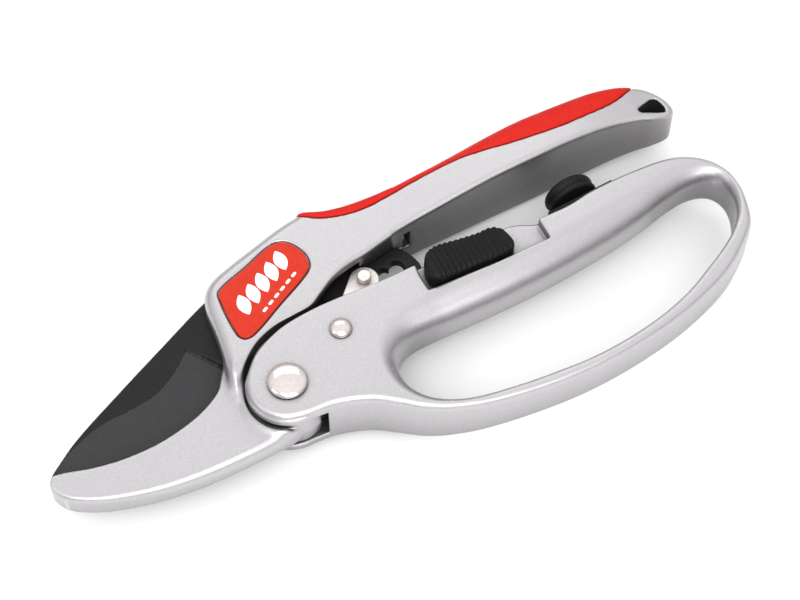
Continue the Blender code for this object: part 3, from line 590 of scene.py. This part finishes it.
# x, y, half depth, outer rounding across and down, hole rounding across and down
SECTIONS = [
    (-12.0, 0.0, 9.5, 2.3, 2.4, 6.0, 8.0), (-7.0, 10.0, 9.5, 1.0, 1.2, 6.0, 8.0),
    (6.0, 15.0, 9.5, 0.6, 0.7, 6.0, 8.0), (20.0, 14.0, 9.5, 0.45, 0.5, 6.0, 8.0),
    (36.0, 12.0, 9.5, 0.45, 0.5, 8.0, 8.2), (52.0, 12.0, 9.5, 0.45, 0.5, 9.0, 8.4),
    (66.0, 12.0, 9.5, 0.5, 0.5, 9.2, 8.4), (83.0, 13.0, 9.5, 0.6, 0.7, 9.2, 8.4),
    (99.0, 14.0, 9.3, 0.9, 1.1, 8.8, 8.2), (112.0, 16.0, 8.9, 1.4, 1.6, 7.6, 7.6),
    (123.0, 17.0, 8.5, 2.0, 2.2, 6.4, 7.2), (133.0, 15.0, 8.1, 2.2, 2.4, 5.0, 6.4),
    (139.0, 8.0, 7.8, 2.2, 2.6, 3.6, 5.0), (141.0, 2.0, 7.5, 2.0, 2.8, 2.6, 3.4),
    (139.0, -6.0, 7.3, 1.9, 3.0, 1.8, 2.2), (134.0, -13.0, 7.2, 1.8, 3.0, 1.5, 1.3),
    (124.0, -20.0, 7.2, 1.7, 2.8, 1.6, 1.0), (111.0, -25.5, 7.2, 1.7, 2.8, 2.0, 0.9),
    (97.0, -29.0, 7.2, 1.7, 2.8, 2.2, 0.9), (80.0, -30.5, 7.2, 1.7, 2.8, 2.2, 0.9),
    (64.0, -30.5, 7.3, 1.7, 2.8, 2.2, 0.9), (50.0, -29.0, 7.6, 1.8, 2.8, 2.2, 1.0),
    (39.0, -26.5, 8.2, 2.0, 2.8, 2.4, 1.6), (30.0, -21.0, 8.9, 2.2, 2.6, 3.4, 3.4),
    (24.0, -15.0, 9.4, 2.3, 2.4, 4.6, 6.0), (22.0, -8.0, 9.5, 2.3, 2.4, 5.6, 8.0),
    (10.0, -10.0, 9.5, 2.3, 2.4, 6.0, 8.0), (22.0, 2.0, 9.5, 1.6, 1.8, 6.0, 8.2),
    (30.0, 3.0, 9.5, 0.8, 0.9, 7.0, 8.2), (0.0, -11.0, 9.5, 2.3, 2.4, 6.0, 8.0),
]
FORK_SLOT = [
    (-18.0, -18.0), (6.3, -18.0), (6.3, -12.4), (9.2, -9.8), (11.5, -6.0), (12.4, -1.6),
    (15.0, -0.2), (24.0, 1.2), (34.0, 6.4), (46.0, 9.4), (52.0, 10.4), (52.6, 24.0), (-18.0, 24.0),
]
LOCK_BED = [(46.4, 8.2), (46.2, 13.0), (47.4, 26.0), (84.0, 26.0), (84.0, 8.9), (66.0, 8.1)]
LOCK_FLOOR = 18.2
BUMPER_SEAT = [(87.6, 15.0), (111.4, 17.4), (111.4, 26.0), (87.6, 26.0)]
LATCH_WINDOW = [(58.6, 11.6), (74.4, 11.6), (74.4, 15.4), (58.6, 15.4)]
LATCH_CHANNEL = [(48.0, 11.0), (80.0, 11.0), (80.0, 16.0), (48.0, 16.0)]
LIP_R = 11.35


def loop_shape(g):
    """Cheeks and finger loop, forked for the blade, with the lock's bed and the bumper's seat."""
    x, y = g.x, g.y
    half, ro, vo, rh, vh = spread(x, y, SECTIONS, 5.5)
    outer = g.rounded(signed(x, y, smooth(OUTER, 5)), half, ro, vo)
    inner = g.rounded(-signed(x, y, smooth(HOLE, 5)), half, rh, vh)
    f = smax(outer, inner, 0.5)
    lip = np.hypot(x - MAIN_PIVOT[0], y - MAIN_PIVOT[1]) - LIP_R
    f = np.minimum(f, np.maximum(g.column(lip), np.abs(np.abs(g.z - MID) - 6.7) - 1.15))
    f = smax(f, -g.slab(signed(x, y, np.array(FORK_SLOT)), MID - 5.5, MID + 5.5), 0.3)
    f = smax(f, -g.slab(signed(x, y, np.array(LOCK_BED)), LOCK_FLOOR, 30.0), 0.9)
    f = smax(f, -g.slab(signed(x, y, np.array(LATCH_WINDOW)), 15.0, 21.0), 0.3)
    f = smax(f, -g.slab(signed(x, y, np.array(LATCH_CHANNEL)), 8.0, 15.6), 0.3)
    f = smax(f, -g.slab(signed(x, y, np.array(BUMPER_SEAT)), 5.0, 18.0), 0.3)
    return f.astype(np.float32)


g = Grid((-15.0, -36.0, 0.6), (146.0, 22.5, 22.4), FINE)
lower = skin("lower_handle_skin", g, loop_shape(g), silver)
place(lower, "handle", "silver_paint", "lower_handle")

# ------------------------------------------------------------------ blade
BLADE = [
    (-66.2, 3.2, 1), (-64.0, 5.0), (-56.0, 10.8), (-40.0, 19.6), (-24.0, 28.0), (-10.0, 35.2),
    (-5.6, 36.6), (-1.0, 36.4), (6.0, 36.0), (14.0, 34.6), (22.0, 31.6), (29.0, 29.0),
    (36.0, 28.3), (40.0, 29.3), (43.6, 29.8), (46.6, 28.9), (48.8, 25.6), (50.0, 21.6),
    (49.4, 19.0), (46.0, 18.4), (38.0, 17.9), (28.0, 16.6), (20.0, 16.2), (12.0, 13.6),
    (4.0, 13.2), (-4.0, 13.2), (-9.6, 14.0), (-12.6, 12.3), (-17.9, 6.6), (-25.5, 2.4),
    (-36.0, -0.3), (-45.8, -0.8), (-54.6, 0.2),
]
CUTTING = [
    (-66.2, 3.2), (-54.6, 0.2), (-45.8, -0.8), (-36.0, -0.3), (-25.5, 2.4), (-17.9, 6.6), (-12.6, 12.3),
    (-8.0, 16.0),
]
GRIND_TOP = (-19.2, 23.7)
GRIND = [
    (-66.2, 3.2), (-60.5, 7.2), (-52.4, 10.9), (-46.4, 12.4), (-38.8, 13.0), (-31.6, 14.6), (-25.2, 18.4),
    GRIND_TOP,
]
GRIND_END = (-11.6, 14.0)
GRIND_BELOW = [(-4.0, 8.0), (-20.0, -8.0), (-70.0, -8.0), (-70.0, 3.0)]
TOOTH_PATH = [(33.3, 22.2), (36.2, 21.6), (39.1, 21.4), (41.6, 21.6), (43.8, 22.0)]
NOTCHES = [(33.3, 22.2), (39.5, 22.6), (43.7, 23.3)]
NOTCH_R = 2.05
BLADE_HALF = 1.5
EDGE_HALF = 0.22


def grind_zone(x, y):
    """Distance to the ground face along the cutting edge, negative on it."""
    return signed(x, y, np.concatenate([open_curve(GRIND), [GRIND_END], GRIND_BELOW]))


def blade_shape(g):
    """Plate with a ground edge, a groove at the end of the grind, a bore and the toothed slot."""
    x, y = g.x, g.y
    to_edge = segment_distance(x, y, open_curve(CUTTING), False)
    to_border = segment_distance(x, y, open_curve(GRIND), False)
    slope = EDGE_HALF + 1.28 * np.clip(to_edge / (to_edge + to_border + 0.01), 0, 1)
    half = np.where(grind_zone(x, y) < 0, slope, BLADE_HALF)
    groove = segment_distance(x, y, np.array([GRIND_TOP, GRIND_END]), False)
    half = half - 0.45 * np.exp(-((groove / 0.42) ** 2))
    f = np.maximum(g.column(signed(x, y, smooth(BLADE))), np.abs(g.z - MID) - g.column(half))
    f = smax(f, 3.95 - g.column(np.hypot(x - BLADE_PIVOT[0], y - BLADE_PIVOT[1])), 0.15)
    holes = segment_distance(x, y, np.array(TOOTH_PATH), False) - NOTCH_R
    for cx, cy in NOTCHES:
        holes = np.minimum(holes, np.hypot(x - cx, y - cy) - NOTCH_R)
    return smax(f, -g.column(holes), 0.15).astype(np.float32)


g = Grid((-68.0, -2.5, 9.3), (52.0, 38.5, 13.8), 0.3)
blade = skin("blade_skin", g, blade_shape(g), blade_dark)
second_finish(blade, blade_bevel, lambda x, y: grind_zone(x, y) < 0)
place(blade, "blade", "blade_coating", "blade")


# ------------------------------------------------------------------ small pieces from meshes
def solid(name, verts, faces, mat, smooth_angle=35):
    mesh = bpy.data.meshes.new(name)
    mesh.from_pydata([tuple(np.array(v) + SHIFT * MM) for v in verts], [], faces)
    mesh.validate()
    mesh.shade_smooth()
    mesh.set_sharp_from_angle(angle=math.radians(smooth_angle))
    mesh.materials.append(mat)
    obj = bpy.data.objects.new(name, mesh)
    bpy.context.scene.collection.objects.link(obj)
    return obj


def lathe(name, profile, mat, at=(0, 0, 0), axis="Z", n=96):
    """Turned piece; profile is (radius, height) pairs in millimetres from the axis back to the axis."""
    verts, faces = [], []
    rows = []
    for r, h in profile:
        if r < 1e-6:
            rows.append([len(verts)])
            verts.append((0.0, 0.0, h))
        else:
            rows.append(list(range(len(verts), len(verts) + n)))
            for k in range(n):
                a = 2 * math.pi * k / n
                verts.append((r * math.cos(a), r * math.sin(a), h))
    closed = len(rows[0]) > 1 and len(rows[-1]) > 1
    pairs = list(zip(rows[:-1], rows[1:]))
    if closed:
        pairs.append((rows[-1], rows[0]))
    for a, b in pairs:
        for k in range(n):
            m = (k + 1) % n
            if len(a) == 1 and len(b) > 1:
                faces.append((a[0], b[m], b[k]))
            elif len(b) == 1 and len(a) > 1:
                faces.append((a[k], a[m], b[0]))
            elif len(a) > 1 and len(b) > 1:
                faces.append((a[k], a[m], b[m], b[k]))
    out = []
    for x, y, z in verts:
        if axis == "Y":
            x, y, z = x, z, -y
        out.append(((x + at[0]) * MM, (y + at[1]) * MM, (z + at[2]) * MM))
    return solid(name, out, faces, mat, 40)


def arc(cx, cz, rx, rz, a0, a1, n=8):
    """Quarter turns for a profile, angles in degrees."""
    pts = []
    for k in range(n + 1):
        a = math.radians(a0 + (a1 - a0) * k / n)
        pts.append((cx + rx * math.cos(a), cz + rz * math.sin(a)))
    return pts


def extruded(name, outline, z0, z1, mat, holes=(), edge=0.12):
    """Flat piece with slightly broken edges."""
    curve = bpy.data.curves.new(name + "_line", "CURVE")
    curve.dimensions = "2D"
    curve.fill_mode = "BOTH"
    curve.extrude = (0.5 * (z1 - z0) - edge) * MM
    curve.bevel_depth = edge * MM
    curve.bevel_resolution = 2
    curve.offset = -edge * MM
    for loop in [outline, *holes]:
        spline = curve.splines.new("POLY")
        spline.points.add(len(loop) - 1)
        for k, p in enumerate(loop):
            spline.points[k].co = (p[0] * MM, p[1] * MM, 0, 1)
        spline.use_cyclic_u = True
    temp = bpy.data.objects.new(name + "_temp", curve)
    bpy.context.scene.collection.objects.link(temp)
    bpy.context.view_layer.update()
    mesh = bpy.data.meshes.new_from_object(temp.evaluated_get(bpy.context.evaluated_depsgraph_get()))
    bpy.data.objects.remove(temp, do_unlink=True)
    for v in mesh.vertices:
        v.co += Vector((SHIFT[0], SHIFT[1], 0.5 * (z0 + z1))) * MM
    mesh.name = name
    mesh.shade_smooth()
    mesh.set_sharp_from_angle(angle=math.radians(35))
    mesh.materials.clear()
    mesh.materials.append(mat)
    obj = bpy.data.objects.new(name, mesh)
    bpy.context.scene.collection.objects.link(obj)
    return obj


def ring_line(cx, cy, r, n=48):
    turns = [2 * math.pi * k / n for k in range(n)]
    return [(cx + r * math.cos(a), cy + r * math.sin(a)) for a in turns]


def capsule(a, b, r, n=16):
    """Outline of a strip from a to b with round ends."""
    ang = math.atan2(b[1] - a[1], b[0] - a[0])
    out = []
    for k in range(n + 1):
        t = ang - math.pi / 2 + math.pi * k / n
        out.append((b[0] + r * math.cos(t), b[1] + r * math.sin(t)))
    for k in range(n + 1):
        t = ang + math.pi / 2 + math.pi * k / n
        out.append((a[0] + r * math.cos(t), a[1] + r * math.sin(t)))
    return out


def tube(name, points, r, mat, sides=12):
    """Round wire through the points."""
    pts = np.array(points, float)
    verts, faces = [], []
    n = len(pts)
    for i in range(n):
        d = pts[min(i + 1, n - 1)] - pts[max(i - 1, 0)]
        d /= np.linalg.norm(d)
        side = np.cross(d, (0, 0, 1))
        side /= np.linalg.norm(side) + 1e-9
        up = np.cross(side, d)
        for k in range(sides):
            a = 2 * math.pi * k / sides
            verts.append(tuple((pts[i] + r * (math.cos(a) * side + math.sin(a) * up)) * MM))
    for i in range(n - 1):
        for k in range(sides):
            m = (k + 1) % sides
            faces.append((i * sides + k, i * sides + m, (i + 1) * sides + m, (i + 1) * sides + k))
    faces.append(tuple(range(sides))[::-1])
    faces.append(tuple(range((n - 1) * sides, n * sides)))
    return solid(name, verts, faces, mat, 60)


def coil(cx, cy, r, z0, pitch, turns, start, per_turn=48):
    """Points along an upright helix."""
    out = []
    for k in range(int(turns * per_turn) + 1):
        a = start + 2 * math.pi * k / per_turn
        out.append((cx + r * math.cos(a), cy + r * math.sin(a), z0 + pitch * k / per_turn))
    return out


# ------------------------------------------------------------------ badges with a generic leaf mark
def inset(points, amount):
    """Outline moved inwards by that much, along its own normals."""
    pts = np.array(points)
    d = np.roll(pts, -1, 0) - np.roll(pts, 1, 0)
    d /= np.linalg.norm(d, axis=1)[:, None] + 1e-12
    area = np.sum(pts[:, 0] * np.roll(pts[:, 1], -1) - pts[:, 1] * np.roll(pts[:, 0], -1))
    side = 1 if area > 0 else -1
    return pts + side * amount * np.stack([-d[:, 1], d[:, 0]], 1)


def leaf(cx, cy, length, width, turn):
    """Pointed leaf outline about its own centre."""
    out = []
    n = 14
    for k in range(n):
        t = k / n
        out.append((-length / 2 + length * t, width / 2 * math.sin(math.pi * t) ** 0.8))
    for k in range(n):
        t = k / n
        out.append((length / 2 - length * t, -width / 2 * math.sin(math.pi * t) ** 0.8))
    c, s = math.cos(turn), math.sin(turn)
    return [(cx + c * x - s * y, cy + s * x + c * y) for x, y in out]


BADGE_TURN = math.radians(31)
BADGE_CENTRE = (7.6, 28.6)
LEAF_AT = (-8.6, -4.3, 0.0, 4.3, 8.6)
DASH_AT = (-7.2, -4.5, -1.8, 0.9, 3.6, 6.3)
cos_b, sin_b = math.cos(BADGE_TURN), math.sin(BADGE_TURN)
for side, tag in ((1, "front"), (-1, "back")):
    face = MID + side * 8.5
    z = sorted((face - side * 0.62, face - side * 0.06))
    plate = extruded("badge_%s_plate" % tag, inset(smooth(BADGE), 0.42), z[0], z[1], badge_red, edge=0.2)
    place(plate, "body", "badge_plastic", "badge_" + tag)
    z = sorted((face - side * 0.1, face - side * 0.01))
    marks = []
    for u in LEAF_AT:
        at = (BADGE_CENTRE[0] + cos_b * u - sin_b * 2.1, BADGE_CENTRE[1] + sin_b * u + cos_b * 2.1)
        marks.append(leaf(at[0], at[1], 7.0, 3.7, BADGE_TURN + 1.05))
    for u in DASH_AT:
        start = (BADGE_CENTRE[0] + cos_b * u + sin_b * 3.6, BADGE_CENTRE[1] + sin_b * u - cos_b * 3.6)
        stop = (start[0] + cos_b * 1.0, start[1] + sin_b * 1.0)
        marks.append(capsule(start, stop, 0.42, 6))
    for k, line in enumerate(marks):
        mark = extruded("badge_%s_mark_%d" % (tag, k), line, z[0], z[1], badge_white, edge=0.02)
        place(mark, "body", "badge_plastic")


# ------------------------------------------------------------------ rivets, bush and washers
def dome(r, z0, rise, power, n=18):
    """Half profile of a head that is flat on top and turns down more and more towards its rim."""
    out = []
    for k in range(n):
        t = math.radians(2 + 88 * (k / n) ** 0.8)
        out.append((r * math.cos(t) ** (2 / power), z0 + rise * math.sin(t) ** (2 / power)))
    return out + [(0.0, z0 + rise)]


HEAD_UNDER = 21.02  # where both front rivet heads sit on the cheek
big = [(0.0, 0.0), (4.2, 0.02)] + arc(4.6, 0.85, 0.8, 0.8, -85, 20, 10)
big += [(5.3, 1.75), (2.9, 1.75), (2.9, HEAD_UNDER)]
big += [(5.2, HEAD_UNDER), (5.38, 21.15), (5.45, 21.4)] + dome(5.45, 21.5, 1.68, 2.25)
big_rivet = lathe("main_rivet_turned", big, nickel, (*MAIN_PIVOT, 0), n=128)
place(big_rivet, "body", "nickel_rivet", "main_pivot_rivet")
small = [(0.0, 0.4), (2.0, 0.42)] + arc(2.3, 1.05, 0.8, 0.6, -80, 20, 8)
small += [(3.05, 1.75), (1.6, 1.75), (1.6, HEAD_UNDER)]
small += [(3.05, HEAD_UNDER)] + dome(3.15, 21.05, 1.75, 2.1)
small_rivet = lathe("pawl_rivet_turned", small, nickel, (*PAWL_PIVOT, 0))
place(small_rivet, "handle", "nickel_rivet", "pawl_rivet")
bush = [(3.2, 7.2), (3.9, 7.2), (4.05, 7.35), (4.05, 15.65), (3.9, 15.8), (3.2, 15.8)]
place(lathe("bush_turned", bush, bush_metal, (*MAIN_PIVOT, 0)), "body", "bush_bronze", "pivot_bush")
for z0, tag in ((16.45, "front"), (6.15, "back")):
    washer = [(3.2, z0), (7.5, z0), (7.6, z0 + 0.1), (7.6, z0 + 0.3), (7.5, z0 + 0.4), (3.2, z0 + 0.4)]
    made = lathe("washer_" + tag, washer, zinc, (*MAIN_PIVOT, 0))
    place(made, "body", "zinc_plate", "pivot_washer_" + tag)
pin = [(0.0, 5.3), (3.1, 5.3)] + arc(3.2, 5.65, 0.35, 0.35, -90, 0, 5)
pin += arc(3.2, 17.35, 0.35, 0.35, 0, 90, 5) + [(0.0, 17.7)]
blade_pin = lathe("blade_pin_turned", pin, nickel, (*BLADE_PIVOT, 0))
place(blade_pin, "body", "nickel_rivet", "blade_pivot_pin")
wire = coil(*MAIN_PIVOT, 7.1, 7.05, 0.9, 1.75, math.radians(200))
spring = tube("opening_spring_wire", wire, 0.38, spring_steel)
place(spring, "body", "spring_steel", "opening_spring")

# ------------------------------------------------------------------ pawl group
PAWL_THICK = 1.5
pawl_line = capsule(PAWL_PIVOT, TOOTH_PIN, 4.1, 24)
eyes = (ring_line(*PAWL_PIVOT, 1.95)[::-1], ring_line(*TOOTH_PIN, 1.45)[::-1])
for z0, tag in ((13.3, "front"), (8.2, "back")):
    made = extruded("pawl_%s_plate" % tag, pawl_line, z0, z0 + PAWL_THICK, zinc, eyes, 0.18)
    place(made, "pawl", "zinc_plate", "pawl_plate_" + tag)
stud = [(0.0, 6.6), (1.7, 6.6), (1.85, 6.75), (1.85, 8.0), (1.3, 8.0), (1.3, 9.85)]
stud += [(1.7, 9.85), (1.7, 13.15), (1.3, 13.15), (1.3, 14.95)]
stud += [(1.88, 14.95), (1.88, 16.7)] + arc(1.58, 16.72, 0.3, 0.3, 0, 90, 6) + [(0.0, 17.05)]
pawl_pin = lathe("pawl_pin_turned", stud, zinc, (*TOOTH_PIN, 0), n=64)
place(pawl_pin, "pawl", "zinc_plate", "pawl_pin")
wire = coil(*PAWL_PIVOT, 2.75, 15.35, 0.62, 2.0, math.radians(30))
place(tube("pawl_spring_wire", wire, 0.25, spring_steel), "handle", "spring_steel", "pawl_spring")

# ------------------------------------------------------------------ lock slider
SLIDER = [
    (47.6, 12.0), (48.3, 15.3), (50.7, 18.2), (54.2, 19.3), (60.0, 18.9), (66.0, 18.3),
    (70.2, 18.2), (72.8, 16.4), (73.9, 13.4), (73.9, 10.8), (72.4, 9.2), (62.0, 9.0),
    (53.6, 8.7), (50.0, 8.8), (47.9, 10.0),
]
SOFT = 1.15  # rounding of the slider's upper edge
RIB_PITCH = 1.62
LATCH_RIVET = (63.0, 13.5)


def slider_shape(g):
    """Saddle-shaped thumb piece with ribs across its top."""
    x, y = g.x, g.y
    d = signed(x, y, smooth(SLIDER))
    top = 22.5 + (x - 62.0) ** 2 / np.where(x < 62.0, 115.0, 190.0)
    top = np.minimum(top, 24.0)
    end = step(0.0, 2.2, np.minimum(x - 47.7, 74.0 - x))
    wave = np.cos(2 * np.pi * (x - 51.6) / RIB_PITCH)
    on_rib = step(50.2, 51.4, x) * (1 - step(71.6, 72.8, x))
    top = top - 0.2 * on_rib * (1 - wave) - 0.7 * (1 - end)
    across = step(0.0, 1.4, -d)
    f = np.maximum(g.column(d), g.z - g.column(top))
    q = np.maximum(g.column(d) + SOFT, 0) ** 2 + np.maximum(g.z - g.column(top) + SOFT, 0) ** 2
    f = np.where((g.column(d) > -SOFT) & (g.z > g.column(top) - SOFT), np.sqrt(q) - SOFT, f)
    groove = g.column(on_rib * (0.1 * (1 - wave))) * (1 - np.clip((22.3 - g.z) / 1.2, 0, 1))
    f = f + np.where(g.column(across) < 1, groove * (1 - g.column(across)), 0)
    f = smax(f, 18.5 - g.z, 0.2)
    socket = g.column(np.hypot(x - LATCH_RIVET[0], y - LATCH_RIVET[1]) - 1.75)
    return smax(f, -np.maximum(socket, g.z - 20.6), 0.2).astype(np.float32)


g = Grid((46.6, 7.6, 17.8), (75.0, 20.8, 24.9), 0.17)
place(skin("lock_slider_skin", g, slider_shape(g), black_plastic), "lock", "black_plastic", "lock_slider")
latch_line = [(51.2, 15.4), (51.2, 12.4), (53.0, 11.6), (71.0, 11.6), (71.0, 15.4)]
latch_eye = (ring_line(*LATCH_RIVET, 1.2),)
latch = extruded("latch_blank", latch_line[::-1], 11.2, 13.0, zinc, latch_eye, 0.1)
place(latch, "lock", "zinc_plate", "latch_plate")
stud = [(0.0, 9.9), (1.9, 9.9), (2.0, 10.0), (2.0, 10.9), (0.9, 10.9), (0.9, 13.3)]
stud += [(1.45, 13.3), (1.45, 20.2), (1.35, 20.3), (0.0, 20.3)]
latch_rivet = lathe("latch_rivet_turned", stud, zinc, (*LATCH_RIVET, 0), n=48)
place(latch_rivet, "lock", "zinc_plate", "latch_rivet")

# ------------------------------------------------------------------ bumper
foot_line = [(88.4, 15.6), (110.4, 17.9), (111.0, 19.0), (110.2, 20.4), (89.0, 18.4), (88.0, 17.0)]
foot = extruded("bumper_base", foot_line, 5.4, 17.6, rubber, (), 0.35)
place(foot, "handle", "black_rubber", "bumper_foot")
cap = [(0.0, 17.7), (1.6, 17.7), (1.6, 21.0), (2.4, 21.5)]
cap += arc(6.6, 22.45, 0.9, 0.95, -90, 42, 7) + [(6.8, 23.45)]
cap += arc(6.6, 24.9, 0.9, 1.2, -60, 72, 9) + [(6.0, 26.25), (4.3, 26.5), (2.2, 26.62), (0.0, 26.66)]
button = lathe("bumper_button", cap, rubber, (99.5, 0.0, MID), "Y")
place(button, "handle", "black_rubber", "bumper_cap")

# ------------------------------------------------------------------ the one node kept from the CAD
detent = nodes["detent_spring"]
detent.data.materials.clear()
detent.data.materials.append(spring_steel)

# ------------------------------------------------------------------ floor, light and camera
floor_mat = finish_mat(
    "studio_floor", (0.80, 0.80, 0.80), (0.84, 0.84, 0.84), 0.0, (0.55, 0.7), 40.0, 8.0, 0.02,
    Emission_Strength=0.12,
)
floor_mesh = bpy.data.meshes.new("studio_floor")
FLOOR = 3.0  # half the floor's width, in metres
FLOOR_Z = -0.0005
corners = [(sx * FLOOR, sy * FLOOR, FLOOR_Z) for sx, sy in ((-1, -1), (1, -1), (1, 1), (-1, 1))]
floor_mesh.from_pydata(corners, [], [(0, 1, 2, 3)])
floor_mesh.materials.append(floor_mat)
floor = bpy.data.objects.new("studio_floor", floor_mesh)
bpy.context.scene.collection.objects.link(floor)

world = bpy.data.worlds.new("studio")
bpy.context.scene.world = world
world.use_nodes = True
sky = world.node_tree
direction = sky.nodes.new("ShaderNodeTexCoord")
split = sky.nodes.new("ShaderNodeSeparateXYZ")
ramp = sky.nodes.new("ShaderNodeValToRGB")
sky.links.new(direction.outputs["Generated"], split.inputs["Vector"])
sky.links.new(split.outputs["Z"], ramp.inputs["Fac"])
sky.links.new(ramp.outputs["Color"], sky.nodes["Background"].inputs["Color"])
SKY = [(0.0, 0.30), (0.30, 0.80), (0.64, 1.08), (1.0, 1.30)]
ramp.color_ramp.elements[0].position, ramp.color_ramp.elements[1].position = SKY[0][0], SKY[-1][0]
for at, _ in SKY[1:-1]:
    ramp.color_ramp.elements.new(at)
for element, (_, level) in zip(ramp.color_ramp.elements, SKY):
    element.color = (level, level, level, 1)
sky.nodes["Background"].inputs["Strength"].default_value = 1.0


def softbox(name, at, aim, size, power):
    lamp = bpy.data.lights.new(name, "AREA")
    lamp.shape = "RECTANGLE"
    lamp.size, lamp.size_y = size
    lamp.energy = power
    obj = bpy.data.objects.new(name, lamp)
    obj.location = at
    obj.rotation_euler = (Vector(aim) - Vector(at)).to_track_quat("-Z", "Y").to_euler()
    bpy.context.scene.collection.objects.link(obj)


softbox("softbox_front", (-0.20, -0.46, 0.80), (0.04, 0.01, 0.0), (0.75, 0.50), 3.4)
softbox("softbox_low", (-0.10, -0.90, 0.52), (0.04, 0.0, 0.0), (1.1, 0.34), 3.0)
softbox("softbox_left", (-0.75, 0.05, 0.45), (0.02, 0.0, 0.0), (0.4, 0.6), 0.6)
softbox("softbox_back", (0.25, 0.75, 0.75), (0.04, 0.0, 0.0), (0.8, 0.4), 0.9)

cam = bpy.data.cameras.new("photo_camera")
cam.lens = 85.0
cam.sensor_width = 36.0
cam.clip_start = 0.01
cam.clip_end = 20.0
camera = bpy.data.objects.new("photo_camera", cam)
AIM = Vector((40.6 + SHIFT[0], 14.5 + SHIFT[1], 10.0)) * MM
AZ, EL, DIST = math.radians(-26.0), math.radians(57.5), 0.5247
away = Vector((math.cos(EL) * math.sin(AZ), -math.cos(EL) * math.cos(AZ), math.sin(EL)))
camera.location = AIM + DIST * away
camera.rotation_euler = (AIM - camera.location).to_track_quat("-Z", "Y").to_euler()
bpy.context.scene.collection.objects.link(camera)
bpy.context.scene.camera = camera
bpy.context.scene.view_settings.view_transform = "Standard"
bpy.context.scene.view_settings.look = "None"
bpy.context.scene.view_settings.exposure = 0.0
